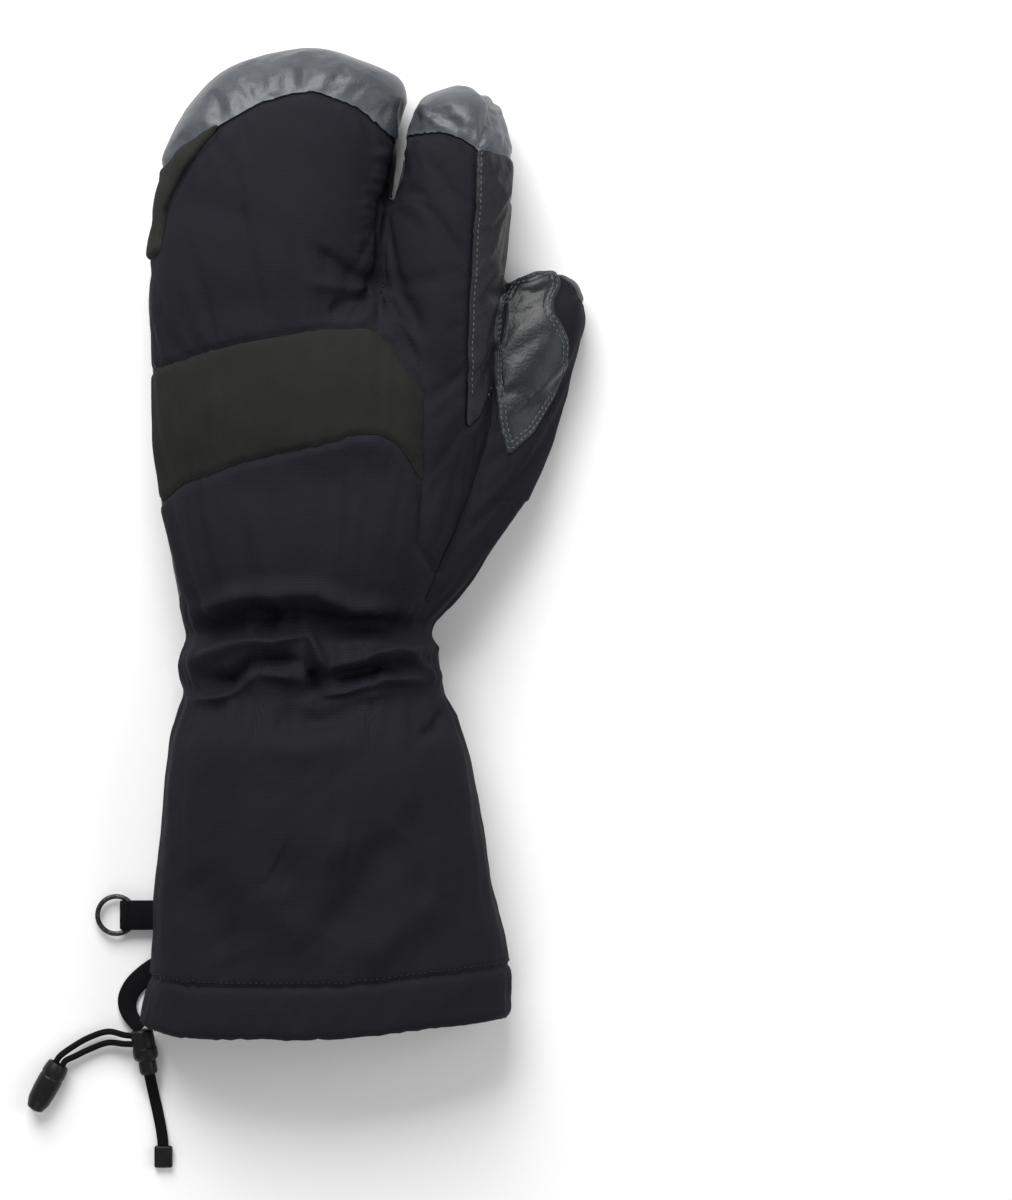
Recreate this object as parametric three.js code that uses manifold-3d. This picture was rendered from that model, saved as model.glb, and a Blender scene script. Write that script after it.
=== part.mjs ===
// A lobster claw mitt for the left hand, lying palm down: a padded pocket for three fingers, an index
// finger and a thumb of their own, a gathered wrist, and a loose flared gauntlet with a draw cord.
// Millimetres. The fingertips point to +Y, the thumb to +X and the back of the hand to +Z.
import * as THREE from "three";
import { mergeVertices } from "three/addons/utils/BufferGeometryUtils.js";
import Module from "manifold-3d";

const wasm = await Module();
wasm.setup();

// Driving sizes. A thickness is the height of the padded form as it lies.
const palmLength = 108.5;
const handWidth = 120;
const handThickness = 56;
const clawLength = 84;
const clawWidth = 88;
const clawThickness = 46;
const indexLength = (6 / 7) * clawLength;
const indexWidth = 44.8;
const indexThickness = 42;
const thumbLength = 1.103 * palmLength;
const thumbReach = 57.4;
const thumbWidth = 35;
const thumbThickness = 34;
const wristLength = 35;
const gauntletLength = 99;
const hemHeight = 19.3;
const cuffWidth = 131;
const cuffThickness = 54;
const padding = 5;
const thumbPadding = 4.5;
const clothWall = 2.2;
const hemWall = 3;
const patchThickness = 1.5;
const strapThickness = 1.6;
const sideSeamHeight = 20;
const seamGap = 0.3;
const gatherDepth = 1.3;
const ringRadius = 6.6;
const ringWire = 1.75;
const webbingWidth = 10.4;
const webbingThickness = 1.3;
const cordDiameter = 2.2;
const lockLength = 16;
const lockDiameter = 8.8;
const cordEndLength = 19;
const cordEndDiameter = 8.6;
const tapeWidth = 4;
const tapeThickness = 0.9;
const tapeDepth = 2.5;
const tabLength = 7.7;
const tabWidth = 32;
const tabHeight = 18;
const tabThickness = 1.5;

// Places that follow from the sizes, from the hem's edge at y = 0 up to the fingertips.
const gauntletTop = hemHeight + gauntletLength;
const wristTop = gauntletTop + wristLength;
const crotch = wristTop + palmLength;

// A frame turns shares of a width and a length into places: u across, v along.
const hand = { x: 0, y: wristTop, width: handWidth, length: palmLength, thickness: handThickness };
const claw = {
  x: -0.143 * handWidth,
  y: crotch,
  width: clawWidth,
  length: clawLength,
  thickness: clawThickness,
};
const index = {
  x: claw.x + 0.43 * clawWidth + 0.508 * indexWidth,
  y: crotch,
  width: indexWidth,
  length: indexLength,
  thickness: indexThickness,
};
const wrist = {
  x: 0,
  y: gauntletTop,
  width: cuffWidth,
  length: wristLength,
  thickness: cuffThickness,
};
const gauntlet = {
  x: 0,
  y: hemHeight,
  width: cuffWidth,
  length: gauntletLength,
  thickness: cuffThickness,
};
const hemFrame = {
  x: 0,
  y: 0,
  width: cuffWidth,
  length: hemHeight,
  thickness: cuffThickness,
};
const thumbFrame = {
  x: 0.175 * handWidth,
  y: wristTop - 0.04 * palmLength,
  width: thumbReach,
  length: thumbLength,
};

const place = (frame, [u, v]) =>
  new THREE.Vector2(frame.x + u * frame.width, frame.y + v * frame.length);
const outline = (frame, shares) => shares.map((share) => place(frame, share));

// Sections of each form, as shares of its frame: how far along, the left and right edges, and the
// lowest and highest point of the padded section.
const handSections = [
  { along: 0, left: -0.429, right: 0.356, low: 0, high: 0.893 },
  { along: 0.081, left: -0.449, right: 0.385, low: -0.036, high: 0.946 },
  { along: 0.226, left: -0.47, right: 0.435, low: -0.054, high: 0.973 },
  { along: 0.394, left: -0.487, right: 0.475, low: -0.054, high: 0.938 },
  { along: 0.516, left: -0.499, right: 0.496, low: -0.054, high: 0.991 },
  { along: 0.677, left: -0.502, right: 0.507, low: -0.054, high: 0.973 },
  { along: 0.819, left: -0.507, right: 0.513, low: -0.036, high: 0.884 },
  { along: 0.91, left: -0.487, right: 0.499, low: 0, high: 0.821 },
  { along: 0.958, left: -0.435, right: 0.464, low: 0.089, high: 0.679 },
  { along: 0.987, left: -0.35, right: 0.394, low: 0.214, high: 0.518 },
];
const clawSections = [
  { along: -0.458, left: -0.441, right: 0.374, low: 0.065, high: 1 },
  { along: -0.208, left: -0.489, right: 0.402, low: 0, high: 1.065 },
  { along: -0.042, left: -0.509, right: 0.414, low: -0.043, high: 1.087 },
  { along: 0.187, left: -0.501, right: 0.43, low: -0.043, high: 1.076 },
  { along: 0.375, left: -0.477, right: 0.457, low: -0.043, high: 1.033 },
  { along: 0.521, left: -0.457, right: 0.477, low: -0.043, high: 0.978 },
  { along: 0.646, left: -0.414, right: 0.497, low: -0.022, high: 0.924 },
  { along: 0.758, left: -0.354, right: 0.513, low: 0, high: 0.859 },
  { along: 0.833, left: -0.298, right: 0.517, low: 0.022, high: 0.793 },
  { along: 0.892, left: -0.235, right: 0.485, low: 0.065, high: 0.728 },
  { along: 0.933, left: -0.171, right: 0.426, low: 0.109, high: 0.663 },
  { along: 0.971, left: -0.08, right: 0.322, low: 0.196, high: 0.565 },
  { along: 1, left: 0.056, right: 0.223, low: 0.283, high: 0.435 },
];
const indexSections = [
  { along: -0.631, left: -0.305, right: 0.227, low: 0.381, high: 1.048 },
  { along: -0.291, left: -0.453, right: 0.398, low: 0.238, high: 1.143 },
  { along: -0.049, left: -0.484, right: 0.422, low: 0.19, high: 1.143 },
  { along: 0.194, left: -0.484, right: 0.469, low: 0.155, high: 1.119 },
  { along: 0.437, left: -0.426, right: 0.496, low: 0.119, high: 1.071 },
  { along: 0.631, left: -0.367, right: 0.488, low: 0.083, high: 1.012 },
  { along: 0.777, left: -0.32, right: 0.477, low: 0.06, high: 0.952 },
  { along: 0.874, left: -0.281, right: 0.438, low: 0.048, high: 0.893 },
  { along: 0.937, left: -0.211, right: 0.375, low: 0.071, high: 0.81 },
  { along: 0.976, left: -0.117, right: 0.289, low: 0.143, high: 0.69 },
  { along: 1, left: -0.008, right: 0.18, low: 0.262, high: 0.548 },
];
const wristSections = [
  { along: 0, left: -0.376, right: 0.335, low: 0.04, high: 0.82 },
  { along: 0.2, left: -0.39, right: 0.313, low: 0.019, high: 0.907 },
  { along: 0.35, left: -0.398, right: 0.313, low: 0, high: 0.963 },
  { along: 0.5, left: -0.389, right: 0.31, low: 0.009, high: 0.944 },
  { along: 0.64, left: -0.377, right: 0.302, low: 0.037, high: 0.852 },
  { along: 0.8, left: -0.386, right: 0.305, low: 0.009, high: 0.944 },
  { along: 1, left: -0.393, right: 0.326, low: 0, high: 0.926 },
];
const gauntletSections = [
  { along: 0, left: -0.473, right: 0.502, low: -0.028, high: 0.833 },
  { along: 0.293, left: -0.461, right: 0.454, low: -0.037, high: 0.889 },
  { along: 0.505, left: -0.446, right: 0.427, low: -0.037, high: 0.926 },
  { along: 0.7, left: -0.43, right: 0.406, low: -0.037, high: 0.944 },
  { along: 0.936, left: -0.403, right: 0.363, low: 0, high: 0.907 },
  { along: 1, left: -0.376, right: 0.335, low: 0.04, high: 0.82 },
];
const hemSections = [
  { along: 0, left: -0.47, right: 0.489, low: 0.019, high: 0.759 },
  { along: 0.091, left: -0.481, right: 0.5, low: 0, high: 0.796 },
  { along: 0.4, left: -0.486, right: 0.508, low: -0.014, high: 0.82 },
  { along: 1, left: -0.473, right: 0.502, low: -0.019, high: 0.833 },
];

// The thumb's axis leans out: each section has its centre, and half its width across that axis.
const thumbSections = [
  { out: 0, along: 0, half: 0.44, low: 0.059, high: 1.118 },
  { out: 0.244, along: 0.114, half: 0.48, low: 0, high: 1.088 },
  { out: 0.457, along: 0.26, half: 0.5, low: -0.029, high: 1.029 },
  { out: 0.622, along: 0.409, half: 0.51, low: -0.029, high: 0.971 },
  { out: 0.75, along: 0.558, half: 0.5, low: -0.029, high: 0.912 },
  { out: 0.848, along: 0.702, half: 0.485, low: -0.029, high: 0.853 },
  { out: 0.915, along: 0.819, half: 0.475, low: -0.029, high: 0.809 },
  { out: 0.951, along: 0.895, half: 0.42, low: 0, high: 0.765 },
  { out: 0.976, along: 0.947, half: 0.34, low: 0.059, high: 0.706 },
  { out: 0.988, along: 0.98, half: 0.24, low: 0.132, high: 0.632 },
  { out: 1, along: 1, half: 0.11, low: 0.235, high: 0.529 },
];

// Sewing lines on the back and on the palm. Each point is a share of the form that it follows.
const backSeams = [
  {
    name: "claw cap",
    points: outline(claw, [
      [-0.581, 0.492],
      [-0.406, 0.529],
      [-0.362, 0.587],
      [-0.195, 0.696],
      [-0.072, 0.767],
      [0.056, 0.808],
      [0.163, 0.821],
      [0.266, 0.783],
      [0.35, 0.746],
      [0.426, 0.671],
      [0.505, 0.583],
    ]),
  },
  {
    name: "index cap",
    points: outline(index, [
      [-0.352, 0.776],
      [-0.258, 0.772],
      [-0.07, 0.777],
      [0.07, 0.757],
      [0.219, 0.709],
      [0.594, 0.631],
    ]),
  },
  {
    name: "band top",
    points: outline(hand, [
      [-0.583, 0.697],
      [-0.505, 0.732],
      [-0.347, 0.787],
      [-0.19, 0.829],
      [0, 0.861],
      [0.125, 0.868],
      [0.19, 0.829],
      [0.248, 0.745],
      [0.303, 0.655],
    ]),
  },
  {
    name: "band side",
    points: outline(hand, [
      [0.302, 0.657],
      [0.3, 0.419],
      [0.297, 0.171],
      [0.327, 0.123],
      [0.356, 0.065],
      [0.37, -0.03],
    ]),
  },
  {
    name: "band low",
    points: outline(hand, [
      [-0.583, 0.226],
      [-0.51, 0.274],
      [-0.423, 0.361],
      [-0.341, 0.394],
      [-0.227, 0.439],
      [0.026, 0.5],
      [0.096, 0.523],
      [0.158, 0.529],
      [0.21, 0.506],
      [0.254, 0.445],
      [0.299, 0.372],
    ]),
  },
  {
    name: "crotch",
    points: [
      ...outline(index, [
        [-0.509, 0.098],
        [-0.517, -0.048],
      ]),
      ...outline(hand, [[0.16, 0.846]]),
    ],
  },
  {
    name: "index side",
    points: [
      ...outline(index, [
        [0.233, 0.712],
        [0.225, 0.36],
      ]),
      ...outline(hand, [
        [0.435, 0.958],
        [0.426, 0.529],
      ]),
    ],
  },
  {
    name: "index side end",
    points: outline(hand, [
      [0.425, 0.528],
      [0.475, 0.555],
      [0.569, 0.597],
    ]),
  },
];
const palmSeams = [
  {
    name: "claw cap",
    points: outline(claw, [
      [-0.581, 0.408],
      [-0.346, 0.433],
      [-0.274, 0.587],
      [-0.135, 0.742],
      [0.028, 0.842],
      [0.191, 0.867],
      [0.31, 0.846],
      [0.394, 0.783],
      [0.505, 0.583],
    ]),
  },
  {
    name: "index cap",
    points: outline(index, [
      [-0.449, 0.425],
      [-0.266, 0.379],
      [-0.094, 0.34],
      [0.031, 0.33],
      [0.242, 0.379],
      [0.594, 0.461],
    ]),
  },
  {
    name: "palm side",
    points: [
      ...outline(index, [[-0.509, 0.098]]),
      ...outline(hand, [
        [0.16, 0.871],
        [0.143, 0.606],
      ]),
    ],
  },
  {
    name: "palm heel",
    points: outline(hand, [
      [0.143, 0.607],
      [0.222, 0.5],
      [0.207, 0.377],
      [0.23, 0.255],
      [0.26, 0.135],
      [0.265, -0.032],
    ]),
  },
  {
    name: "index side",
    points: [
      ...outline(index, [
        [0.029, 0.377],
        [-0.024, 0.098],
      ]),
      ...outline(hand, [
        [0.309, 0.823],
        [0.303, 0.645],
        [0.221, 0.499],
      ]),
    ],
  },
  {
    name: "gusset top",
    points: outline(hand, [
      [0.142, 0.605],
      [0.31, 0.823],
    ]),
  },
  {
    name: "gusset foot",
    points: outline(hand, [
      [0.221, 0.5],
      [0.44, 0.53],
    ]),
  },
];

// The side seam lies level round the little-finger side and between the two finger tubes, up to the
// higher of the caps' seams. It stops inside the hollow, short of the index finger's outer side, which
// one leather piece wraps.
const sideSeams = [backSeams, palmSeams].map((seams) => [
  ...outline(hand, [[-0.583, -0.04]]),
  ...seams[0].points,
  ...seams[1].points,
  ...outline(index, [
    [0.594, 0.461],
    [0.242, 0.379],
    [0.05, 0.32],
  ]),
  ...outline(hand, [
    [0.375, 0.52],
    [0.22, 0.12],
    [0.2, -0.04],
  ]),
]);

// One seed for each panel: a place over which only that panel lies on its side of the side seam.
const panels = [
  { name: "claw_cap", frame: claw, seed: [0.1, 0.92], side: "back", stuff: "leather" },
  { name: "index_cap", frame: index, seed: [0.05, 0.87], side: "back", stuff: "leather" },
  { name: "back_panel", frame: claw, seed: [-0.05, 0.2], side: "back", stuff: "fabric" },
  { name: "index_back", frame: index, seed: [-0.15, 0.2], side: "back", stuff: "fabric" },
  { name: "index_side", frame: index, seed: [0.34, 0], side: "back", stuff: "leather" },
  { name: "knuckle_band", frame: hand, seed: [-0.13, 0.62], side: "back", stuff: "softshell" },
  { name: "lower_back", frame: hand, seed: [-0.07, 0.2], side: "back", stuff: "fabric" },
  { name: "palm", frame: hand, seed: [-0.2, 0.4], side: "palm", stuff: "leather" },
  { name: "index_palm", frame: hand, seed: [0.26, 1], side: "palm", stuff: "leather" },
  { name: "palm_gusset", frame: hand, seed: [0.24, 0.64], side: "palm", stuff: "leather" },
  { name: "thumb_gusset", frame: hand, seed: [0.23, 0.42], side: "palm", stuff: "leather" },
];
const patchOutlines = {
  palm_patch_upper: [
    [0.165, 1.226],
    [-0.149, 1.135],
    [-0.315, 1.055],
    [-0.365, 1.006],
    [-0.388, 0.952],
    [-0.382, 0.79],
    [-0.365, 0.748],
    [-0.315, 0.758],
    [-0.192, 0.813],
    [0.085, 0.926],
    [0.165, 0.948],
  ],
  palm_patch_middle: [
    [0.15, 0.89],
    [0.085, 0.868],
    [-0.061, 0.81],
    [-0.192, 0.735],
    [-0.315, 0.687],
    [-0.359, 0.665],
    [-0.362, 0.616],
    [-0.356, 0.471],
    [-0.335, 0.455],
    [-0.277, 0.487],
    [-0.169, 0.545],
    [-0.061, 0.626],
    [0.047, 0.681],
    [0.135, 0.715],
  ],
  palm_patch_lower: [
    [0.099, 0.645],
    [0.012, 0.613],
    [-0.134, 0.523],
    [-0.306, 0.394],
    [-0.321, 0.361],
    [-0.312, 0.161],
    [-0.277, 0.113],
    [-0.169, 0.097],
    [-0.023, 0.09],
    [0.006, 0.113],
    [0.012, 0.171],
    [0.085, 0.435],
    [0.131, 0.561],
  ],
};
const thumbPatchOutline = [
  [0.522, 0.981],
  [0.545, 1.023],
  [0.589, 1.058],
  [0.642, 1.074],
  [0.694, 1.042],
  [0.729, 0.968],
  [0.741, 0.871],
  [0.726, 0.768],
  [0.685, 0.661],
  [0.627, 0.565],
  [0.54, 0.458],
  [0.519, 0.516],
  [0.507, 0.71],
  [0.507, 0.871],
];
const sideLoopOutline = [
  [-0.207, 0.704],
  [-0.159, 0.662],
  [-0.251, 0.567],
  [-0.342, 0.417],
  [-0.39, 0.271],
  [-0.414, 0.117],
  [-0.469, 0.117],
  [-0.461, 0.271],
  [-0.422, 0.417],
  [-0.358, 0.583],
];

// Solids from three.js geometry, and geometry back from a finished solid.
function solid(geometry) {
  geometry.deleteAttribute("normal");
  geometry.deleteAttribute("uv");
  const merged = mergeVertices(geometry, 1e-4);
  return new wasm.Manifold(
    new wasm.Mesh({
      numProp: 3,
      vertProperties: new Float32Array(merged.attributes.position.array),
      triVerts: new Uint32Array(merged.index.array),
    }),
  );
}

function geometryOf(body) {
  const mesh = body.getMesh();
  const geometry = new THREE.BufferGeometry();
  geometry.setAttribute("position", new THREE.BufferAttribute(mesh.vertProperties, 3));
  geometry.setIndex(new THREE.BufferAttribute(mesh.triVerts, 1));
  geometry.computeVertexNormals();
  return geometry;
}

function prism(points, low, high) {
  const geometry = new THREE.ExtrudeGeometry(new THREE.Shape(points), {
    depth: high - low,
    bevelEnabled: false,
  });
  geometry.translate(0, 0, low);
  return solid(geometry);
}

// A narrow upright wall along a sewing line, which parts two panels by the seam's gap.
function seamWall(points, low, high) {
  const left = [];
  const right = [];
  points.forEach((point, i) => {
    const before = points[Math.max(i - 1, 0)];
    const after = points[Math.min(i + 1, points.length - 1)];
    const along = after.clone().sub(before).normalize();
    const across = new THREE.Vector2(-along.y, along.x).multiplyScalar(seamGap / 2);
    left.push(point.clone().add(across));
    right.push(point.clone().sub(across));
  });
  return prism([...left, ...right.reverse()], low, high);
}

// A closed form through rings of points, with a fan over each end.
function loft(rings) {
  const count = rings[0].length;
  const vertices = rings.flat();
  const indices = [];
  for (let r = 0; r < rings.length - 1; r += 1) {
    for (let i = 0; i < count; i += 1) {
      const a = r * count + i;
      const b = r * count + ((i + 1) % count);
      indices.push(a, b, b + count, a, b + count, a + count);
    }
  }
  [0, rings.length - 1].forEach((r) => {
    const centre = rings[r]
      .reduce((sum, point) => sum.add(point), new THREE.Vector3())
      .divideScalar(count);
    const hub = vertices.push(centre) - 1;
    for (let i = 0; i < count; i += 1) {
      const a = r * count + i;
      const b = r * count + ((i + 1) % count);
      indices.push(...(r === 0 ? [hub, b, a] : [hub, a, b]));
    }
  });
  const geometry = new THREE.BufferGeometry().setFromPoints(vertices);
  geometry.setIndex(indices);
  const body = solid(geometry);
  if (body.volume() < 0) throw new Error("a loft's rings run the wrong way round");
  return body;
}

// How many points go round each form.
const handSides = 22;
const hollowSides = 14;
const thumbSides = 18;
const cuffSides = 36;

// One ring of a lying padded section: a rounded form whose widest line is low, flat where it meets
// the floor. The ring's width runs along `across`; `swell` adds folds round it.
const roundness = 2.5;
const handWidest = 0.38;
const cuffWidest = 0.3;
const leastHalf = 0.6;
function sectionRing({ centre, across, half, low, high, widest, floor, count, swell }) {
  const middle = low + widest * (high - low);
  const power = 2 / roundness;
  const ring = [];
  for (let i = 0; i < count; i += 1) {
    const angle = (2 * Math.PI * i) / count;
    const extra = swell ? swell(angle) : 0;
    const c = Math.cos(angle);
    const s = Math.sin(angle);
    const side = Math.sign(c) * Math.abs(c) ** power * (half + extra);
    const reach = s > 0 ? high - middle : middle - low;
    const z = middle + Math.sign(s) * Math.abs(s) ** power * (reach + extra);
    ring.push(
      new THREE.Vector3(
        centre.x + across.x * side,
        centre.y + across.y * side,
        Math.max(z, floor),
      ),
    );
  }
  return ring;
}

// A straight tube through a table of sections, `grow` thicker all round than the table says.
// `open` carries it on past its start, past its end, or both.
function tube(frame, sections, options) {
  const { grow = 0, floor = 0, count = handSides, open = "", folds, widest = handWidest } = options;
  const stretch = open.includes("end") ? 1 : (frame.length + grow) / frame.length;
  const rows = sections.map((row) => ({ ...row, along: row.along * (row.along > 0 ? stretch : 1) }));
  const beyond = 2 / frame.length;
  if (open.includes("start")) rows.unshift({ ...rows[0], along: rows[0].along - beyond });
  if (open.includes("end")) rows.push({ ...rows.at(-1), along: rows.at(-1).along + beyond });
  return loft(
    rows.map((row) => {
      const half = ((row.right - row.left) / 2) * frame.width + grow;
      const middle = ((row.low + row.high) / 2) * frame.thickness;
      const rise = Math.max(((row.high - row.low) / 2) * frame.thickness + grow, leastHalf);
      return sectionRing({
        centre: place(frame, [(row.left + row.right) / 2, row.along]),
        across: new THREE.Vector2(-1, 0),
        half: Math.max(half, leastHalf),
        low: middle - rise,
        high: middle + rise,
        widest,
        floor: floor - grow,
        count,
        swell: folds ? (angle) => folds(row.along, angle) : null,
      });
    }),
  );
}

// The thumb's tube along its leaning axis.
function thumbTube(grow, floor, count) {
  const centres = thumbSections.map((row) => place(thumbFrame, [row.out, row.along]));
  const last = centres.length - 1;
  const tipLean = centres[last].clone().sub(centres[last - 1]).normalize();
  centres[last].add(tipLean.multiplyScalar(grow));
  return loft(
    thumbSections.map((row, i) => {
      const before = centres[Math.max(i - 1, 0)];
      const after = centres[Math.min(i + 1, last)];
      const along = after.clone().sub(before).normalize();
      const middle = ((row.low + row.high) / 2) * thumbThickness;
      const rise = Math.max(((row.high - row.low) / 2) * thumbThickness + grow, leastHalf);
      return sectionRing({
        centre: centres[i],
        across: new THREE.Vector2(-along.y, along.x),
        half: Math.max(row.half * thumbWidth + grow, leastHalf),
        low: middle - rise,
        high: middle + rise,
        widest: handWidest,
        floor: floor - grow,
        count,
      });
    }),
  );
}

const joined = (bodies) => bodies.reduce((all, body) => all.add(body));

// The outside of the hand: palm, claw pocket and index finger in one, `grow` thicker all round.
// The padded palm lies on its sewn-on patches, one patch thickness above the floor.
function handForm(grow, count) {
  const options = { grow, floor: patchThickness, count };
  return joined([
    tube(hand, handSections, { ...options, open: grow < 0 ? "start" : "" }),
    tube(claw, clawSections, options),
    tube(index, indexSections, options),
  ]);
}

const farBelow = -5;
const farAbove = 120;
const handOutside = handForm(0, handSides);
const handHollow = handForm(-padding, hollowSides);
const handClear = handForm(seamGap, handSides);
const thumbClear = thumbTube(seamGap, 0, thumbSides);
const handStart = wristTop + seamGap;

// Keeps what lies above the wrist's end of the hand.
function aboveWrist(body) {
  const reach = 2 * handWidth;
  const box = new THREE.BoxGeometry(2 * reach, reach + palmLength + clawLength, farAbove * 2);
  box.translate(0, handStart + (reach + palmLength + clawLength) / 2, 0);
  return body.intersect(solid(box));
}

const parts = [];
const add = (name, body, stuff) => parts.push({ name, body, stuff });

// The hand's shell comes apart into its sewn panels along the seams.
const backWalls = backSeams.map((seam) =>
  seamWall(seam.points, sideSeamHeight, farAbove),
);
const palmWalls = palmSeams.map((seam) =>
  seamWall(seam.points, farBelow, sideSeamHeight + seamGap),
);
const sideWalls = sideSeams.map((points) =>
  prism(points, sideSeamHeight, sideSeamHeight + seamGap),
);
const handPieces = aboveWrist(handOutside.subtract(handHollow))
  .subtract(joined([...backWalls, ...palmWalls, ...sideWalls, thumbClear]))
  .decompose();
panels.forEach(({ name, frame, seed, side, stuff }) => {
  const probe = new THREE.CylinderGeometry(1, 1, farAbove, 6);
  probe.rotateX(Math.PI / 2);
  const middle = place(frame, seed);
  const lift = side === "back" ? farAbove / 2 + 1 : -farAbove / 2;
  probe.translate(middle.x, middle.y, sideSeamHeight + lift);
  const rod = solid(probe);
  const body = handPieces.find((piece) => piece.intersect(rod).volume() > 1e-3);
  if (!body) throw new Error("no panel lies at the seed of " + name);
  add(name, body, stuff);
});

// Patches and straps are skins over the form below them, cut to an outline.
const patchSkin = handForm(patchThickness, handSides).subtract(handClear).subtract(thumbClear);
Object.entries(patchOutlines).forEach(([name, shares]) => {
  add(name, prism(outline(hand, shares), farBelow, sideSeamHeight / 2).intersect(patchSkin), "leather");
});

// The thumb runs through the hand's wall and opens into its hollow.
const thumbHollow = thumbTube(-thumbPadding, 0, hollowSides);
const thumbShell = thumbTube(0, 0, thumbSides).subtract(thumbHollow).subtract(handHollow);
add("thumb_body", aboveWrist(thumbShell), "fabric");
const thumbSkin = thumbTube(seamGap + strapThickness, 0, thumbSides)
  .subtract(thumbClear)
  .subtract(handClear);
add(
  "thumb_patch",
  prism(outline(hand, thumbPatchOutline), thumbThickness * 0.45, farAbove).intersect(thumbSkin),
  "leather",
);

// The strap along the little-finger side stands a strap's thickness off the pocket.
const strapSkin = tube(claw, clawSections, {
  grow: seamGap + strapThickness,
  floor: patchThickness,
}).subtract(handClear);
add(
  "side_loop",
  prism(outline(claw, sideLoopOutline), sideSeamHeight, farAbove).intersect(strapSkin),
  "tape",
);

// Wrist, gauntlet and hem are rings of cloth. Elastic gathers pucker the wrist and fade down the cuff.
const gatherCount = 11;
const flareFolds = 5;
function gathers(strength) {
  return (along, angle) =>
    gatherDepth *
    strength(along) *
    (0.6 * Math.cos(gatherCount * angle + 1.3) + 0.4 * Math.cos(flareFolds * angle + 0.4));
}
function clothRing(frame, sections, wall, strength) {
  const folds = gathers(strength);
  const options = { count: cuffSides, widest: cuffWidest, folds };
  const outside = tube(frame, sections, { ...options, open: "end" });
  const inside = tube(frame, sections, { ...options, grow: -wall, open: "start end" });
  const reach = 2 * cuffWidth;
  const slab = new THREE.BoxGeometry(reach, frame.length - seamGap, reach);
  slab.translate(frame.x, frame.y + frame.length / 2, 0);
  return outside.subtract(inside).intersect(solid(slab));
}
const wristStrength = () => 1;
const gauntletStrength = (v) => 0.35 + 0.65 * v;
const hemStrength = () => 0.35;
add("wrist_cuff", clothRing(wrist, wristSections, clothWall, wristStrength), "fabric");
add("gauntlet", clothRing(gauntlet, gauntletSections, clothWall, gauntletStrength), "fabric");

// The tab on the hem's palm side is let into it, so that the hem still lies flat.
const tabMiddle = 0.1 * cuffWidth;
const tabLow = 0.05 * hemHeight;
function tabBlock(spread) {
  const box = new THREE.BoxGeometry(
    tabWidth + 2 * spread,
    tabHeight + 2 * spread,
    2 * (tabThickness + spread),
  );
  box.translate(tabMiddle, tabLow + tabHeight / 2, 0);
  return solid(box);
}
const hemRing = clothRing(hemFrame, hemSections, hemWall, hemStrength);
add("hem", hemRing.subtract(tabBlock(seamGap)), "fabric");
const floorBlock = new THREE.BoxGeometry(4 * cuffWidth, 4 * cuffWidth, 2 * tabThickness);
floorBlock.translate(0, 0, tabThickness);
add("hem_tab", tabBlock(0).intersect(solid(floorBlock)), "leather");

// The outside of the cuff with clearance, which trims the webbing that is sewn to it.
const clearOptions = { grow: seamGap, count: cuffSides, widest: cuffWidest };
const cuffClear = joined([
  tube(gauntlet, gauntletSections, { ...clearOptions, folds: gathers(gauntletStrength) }),
  tube(hemFrame, hemSections, { ...clearOptions, open: "end", folds: gathers(hemStrength) }),
]);

// A small wire ring lies in the fold of a short webbing on the gauntlet's little-finger side.
const ringPlace = place(gauntlet, [-0.556, 0.24]);
const ringHeight = webbingThickness + seamGap + ringWire / 2;
const ringGeometry = new THREE.TorusGeometry(ringRadius, ringWire / 2, 8, 20);
ringGeometry.translate(ringPlace.x, ringPlace.y, ringHeight);
add("ring", solid(ringGeometry), "metal");

// The webbing's side view: a loop round the wire, its two plies running to the gauntlet.
const wireX = ringPlace.x + ringRadius;
const boreRadius = ringWire / 2 + seamGap;
const loopRadius = boreRadius + webbingThickness;
const webbingEnd = 0.17 * cuffWidth;
const neck = 1.6 * loopRadius;
const loopTurn = 0.3 * Math.PI;
const side = new THREE.Shape();
side.moveTo(webbingEnd, -webbingThickness);
side.lineTo(neck, -webbingThickness);
side.absarc(0, 0, loopRadius, -loopTurn, loopTurn, true);
side.lineTo(neck, webbingThickness);
side.lineTo(webbingEnd, webbingThickness);
const bore = new THREE.Path();
bore.absarc(0, 0, boreRadius, 0, 2 * Math.PI, false);
side.holes.push(bore);
const webbingGeometry = new THREE.ExtrudeGeometry(side, {
  depth: webbingWidth,
  bevelEnabled: false,
  curveSegments: 5,
});
webbingGeometry.rotateX(Math.PI / 2);
webbingGeometry.translate(wireX, ringPlace.y + webbingWidth / 2, ringHeight);
const ringBend = new THREE.TorusGeometry(ringRadius, boreRadius, 8, 20);
ringBend.translate(ringPlace.x, ringPlace.y, ringHeight);
add("ring_webbing", solid(webbingGeometry).subtract(cuffClear).subtract(solid(ringBend)), "tape");

// A webbing loop leaves the gauntlet's lower corner and carries the cord lock.
const lockTop = place(hemFrame, [-0.5, 0.08]);
const lockWebbing = prism(
  outline(gauntlet, [
    [-0.32, 0.08],
    [-0.507, 0.032],
    [-0.542, -0.021],
    [-0.563, -0.078],
    [-0.561, -0.127],
    [-0.52, -0.19],
    [-0.495, -0.19],
    [-0.505, -0.1],
    [-0.48, -0.06],
    [-0.32, -0.06],
  ]),
  0.2,
  0.2 + webbingThickness,
);

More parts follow.
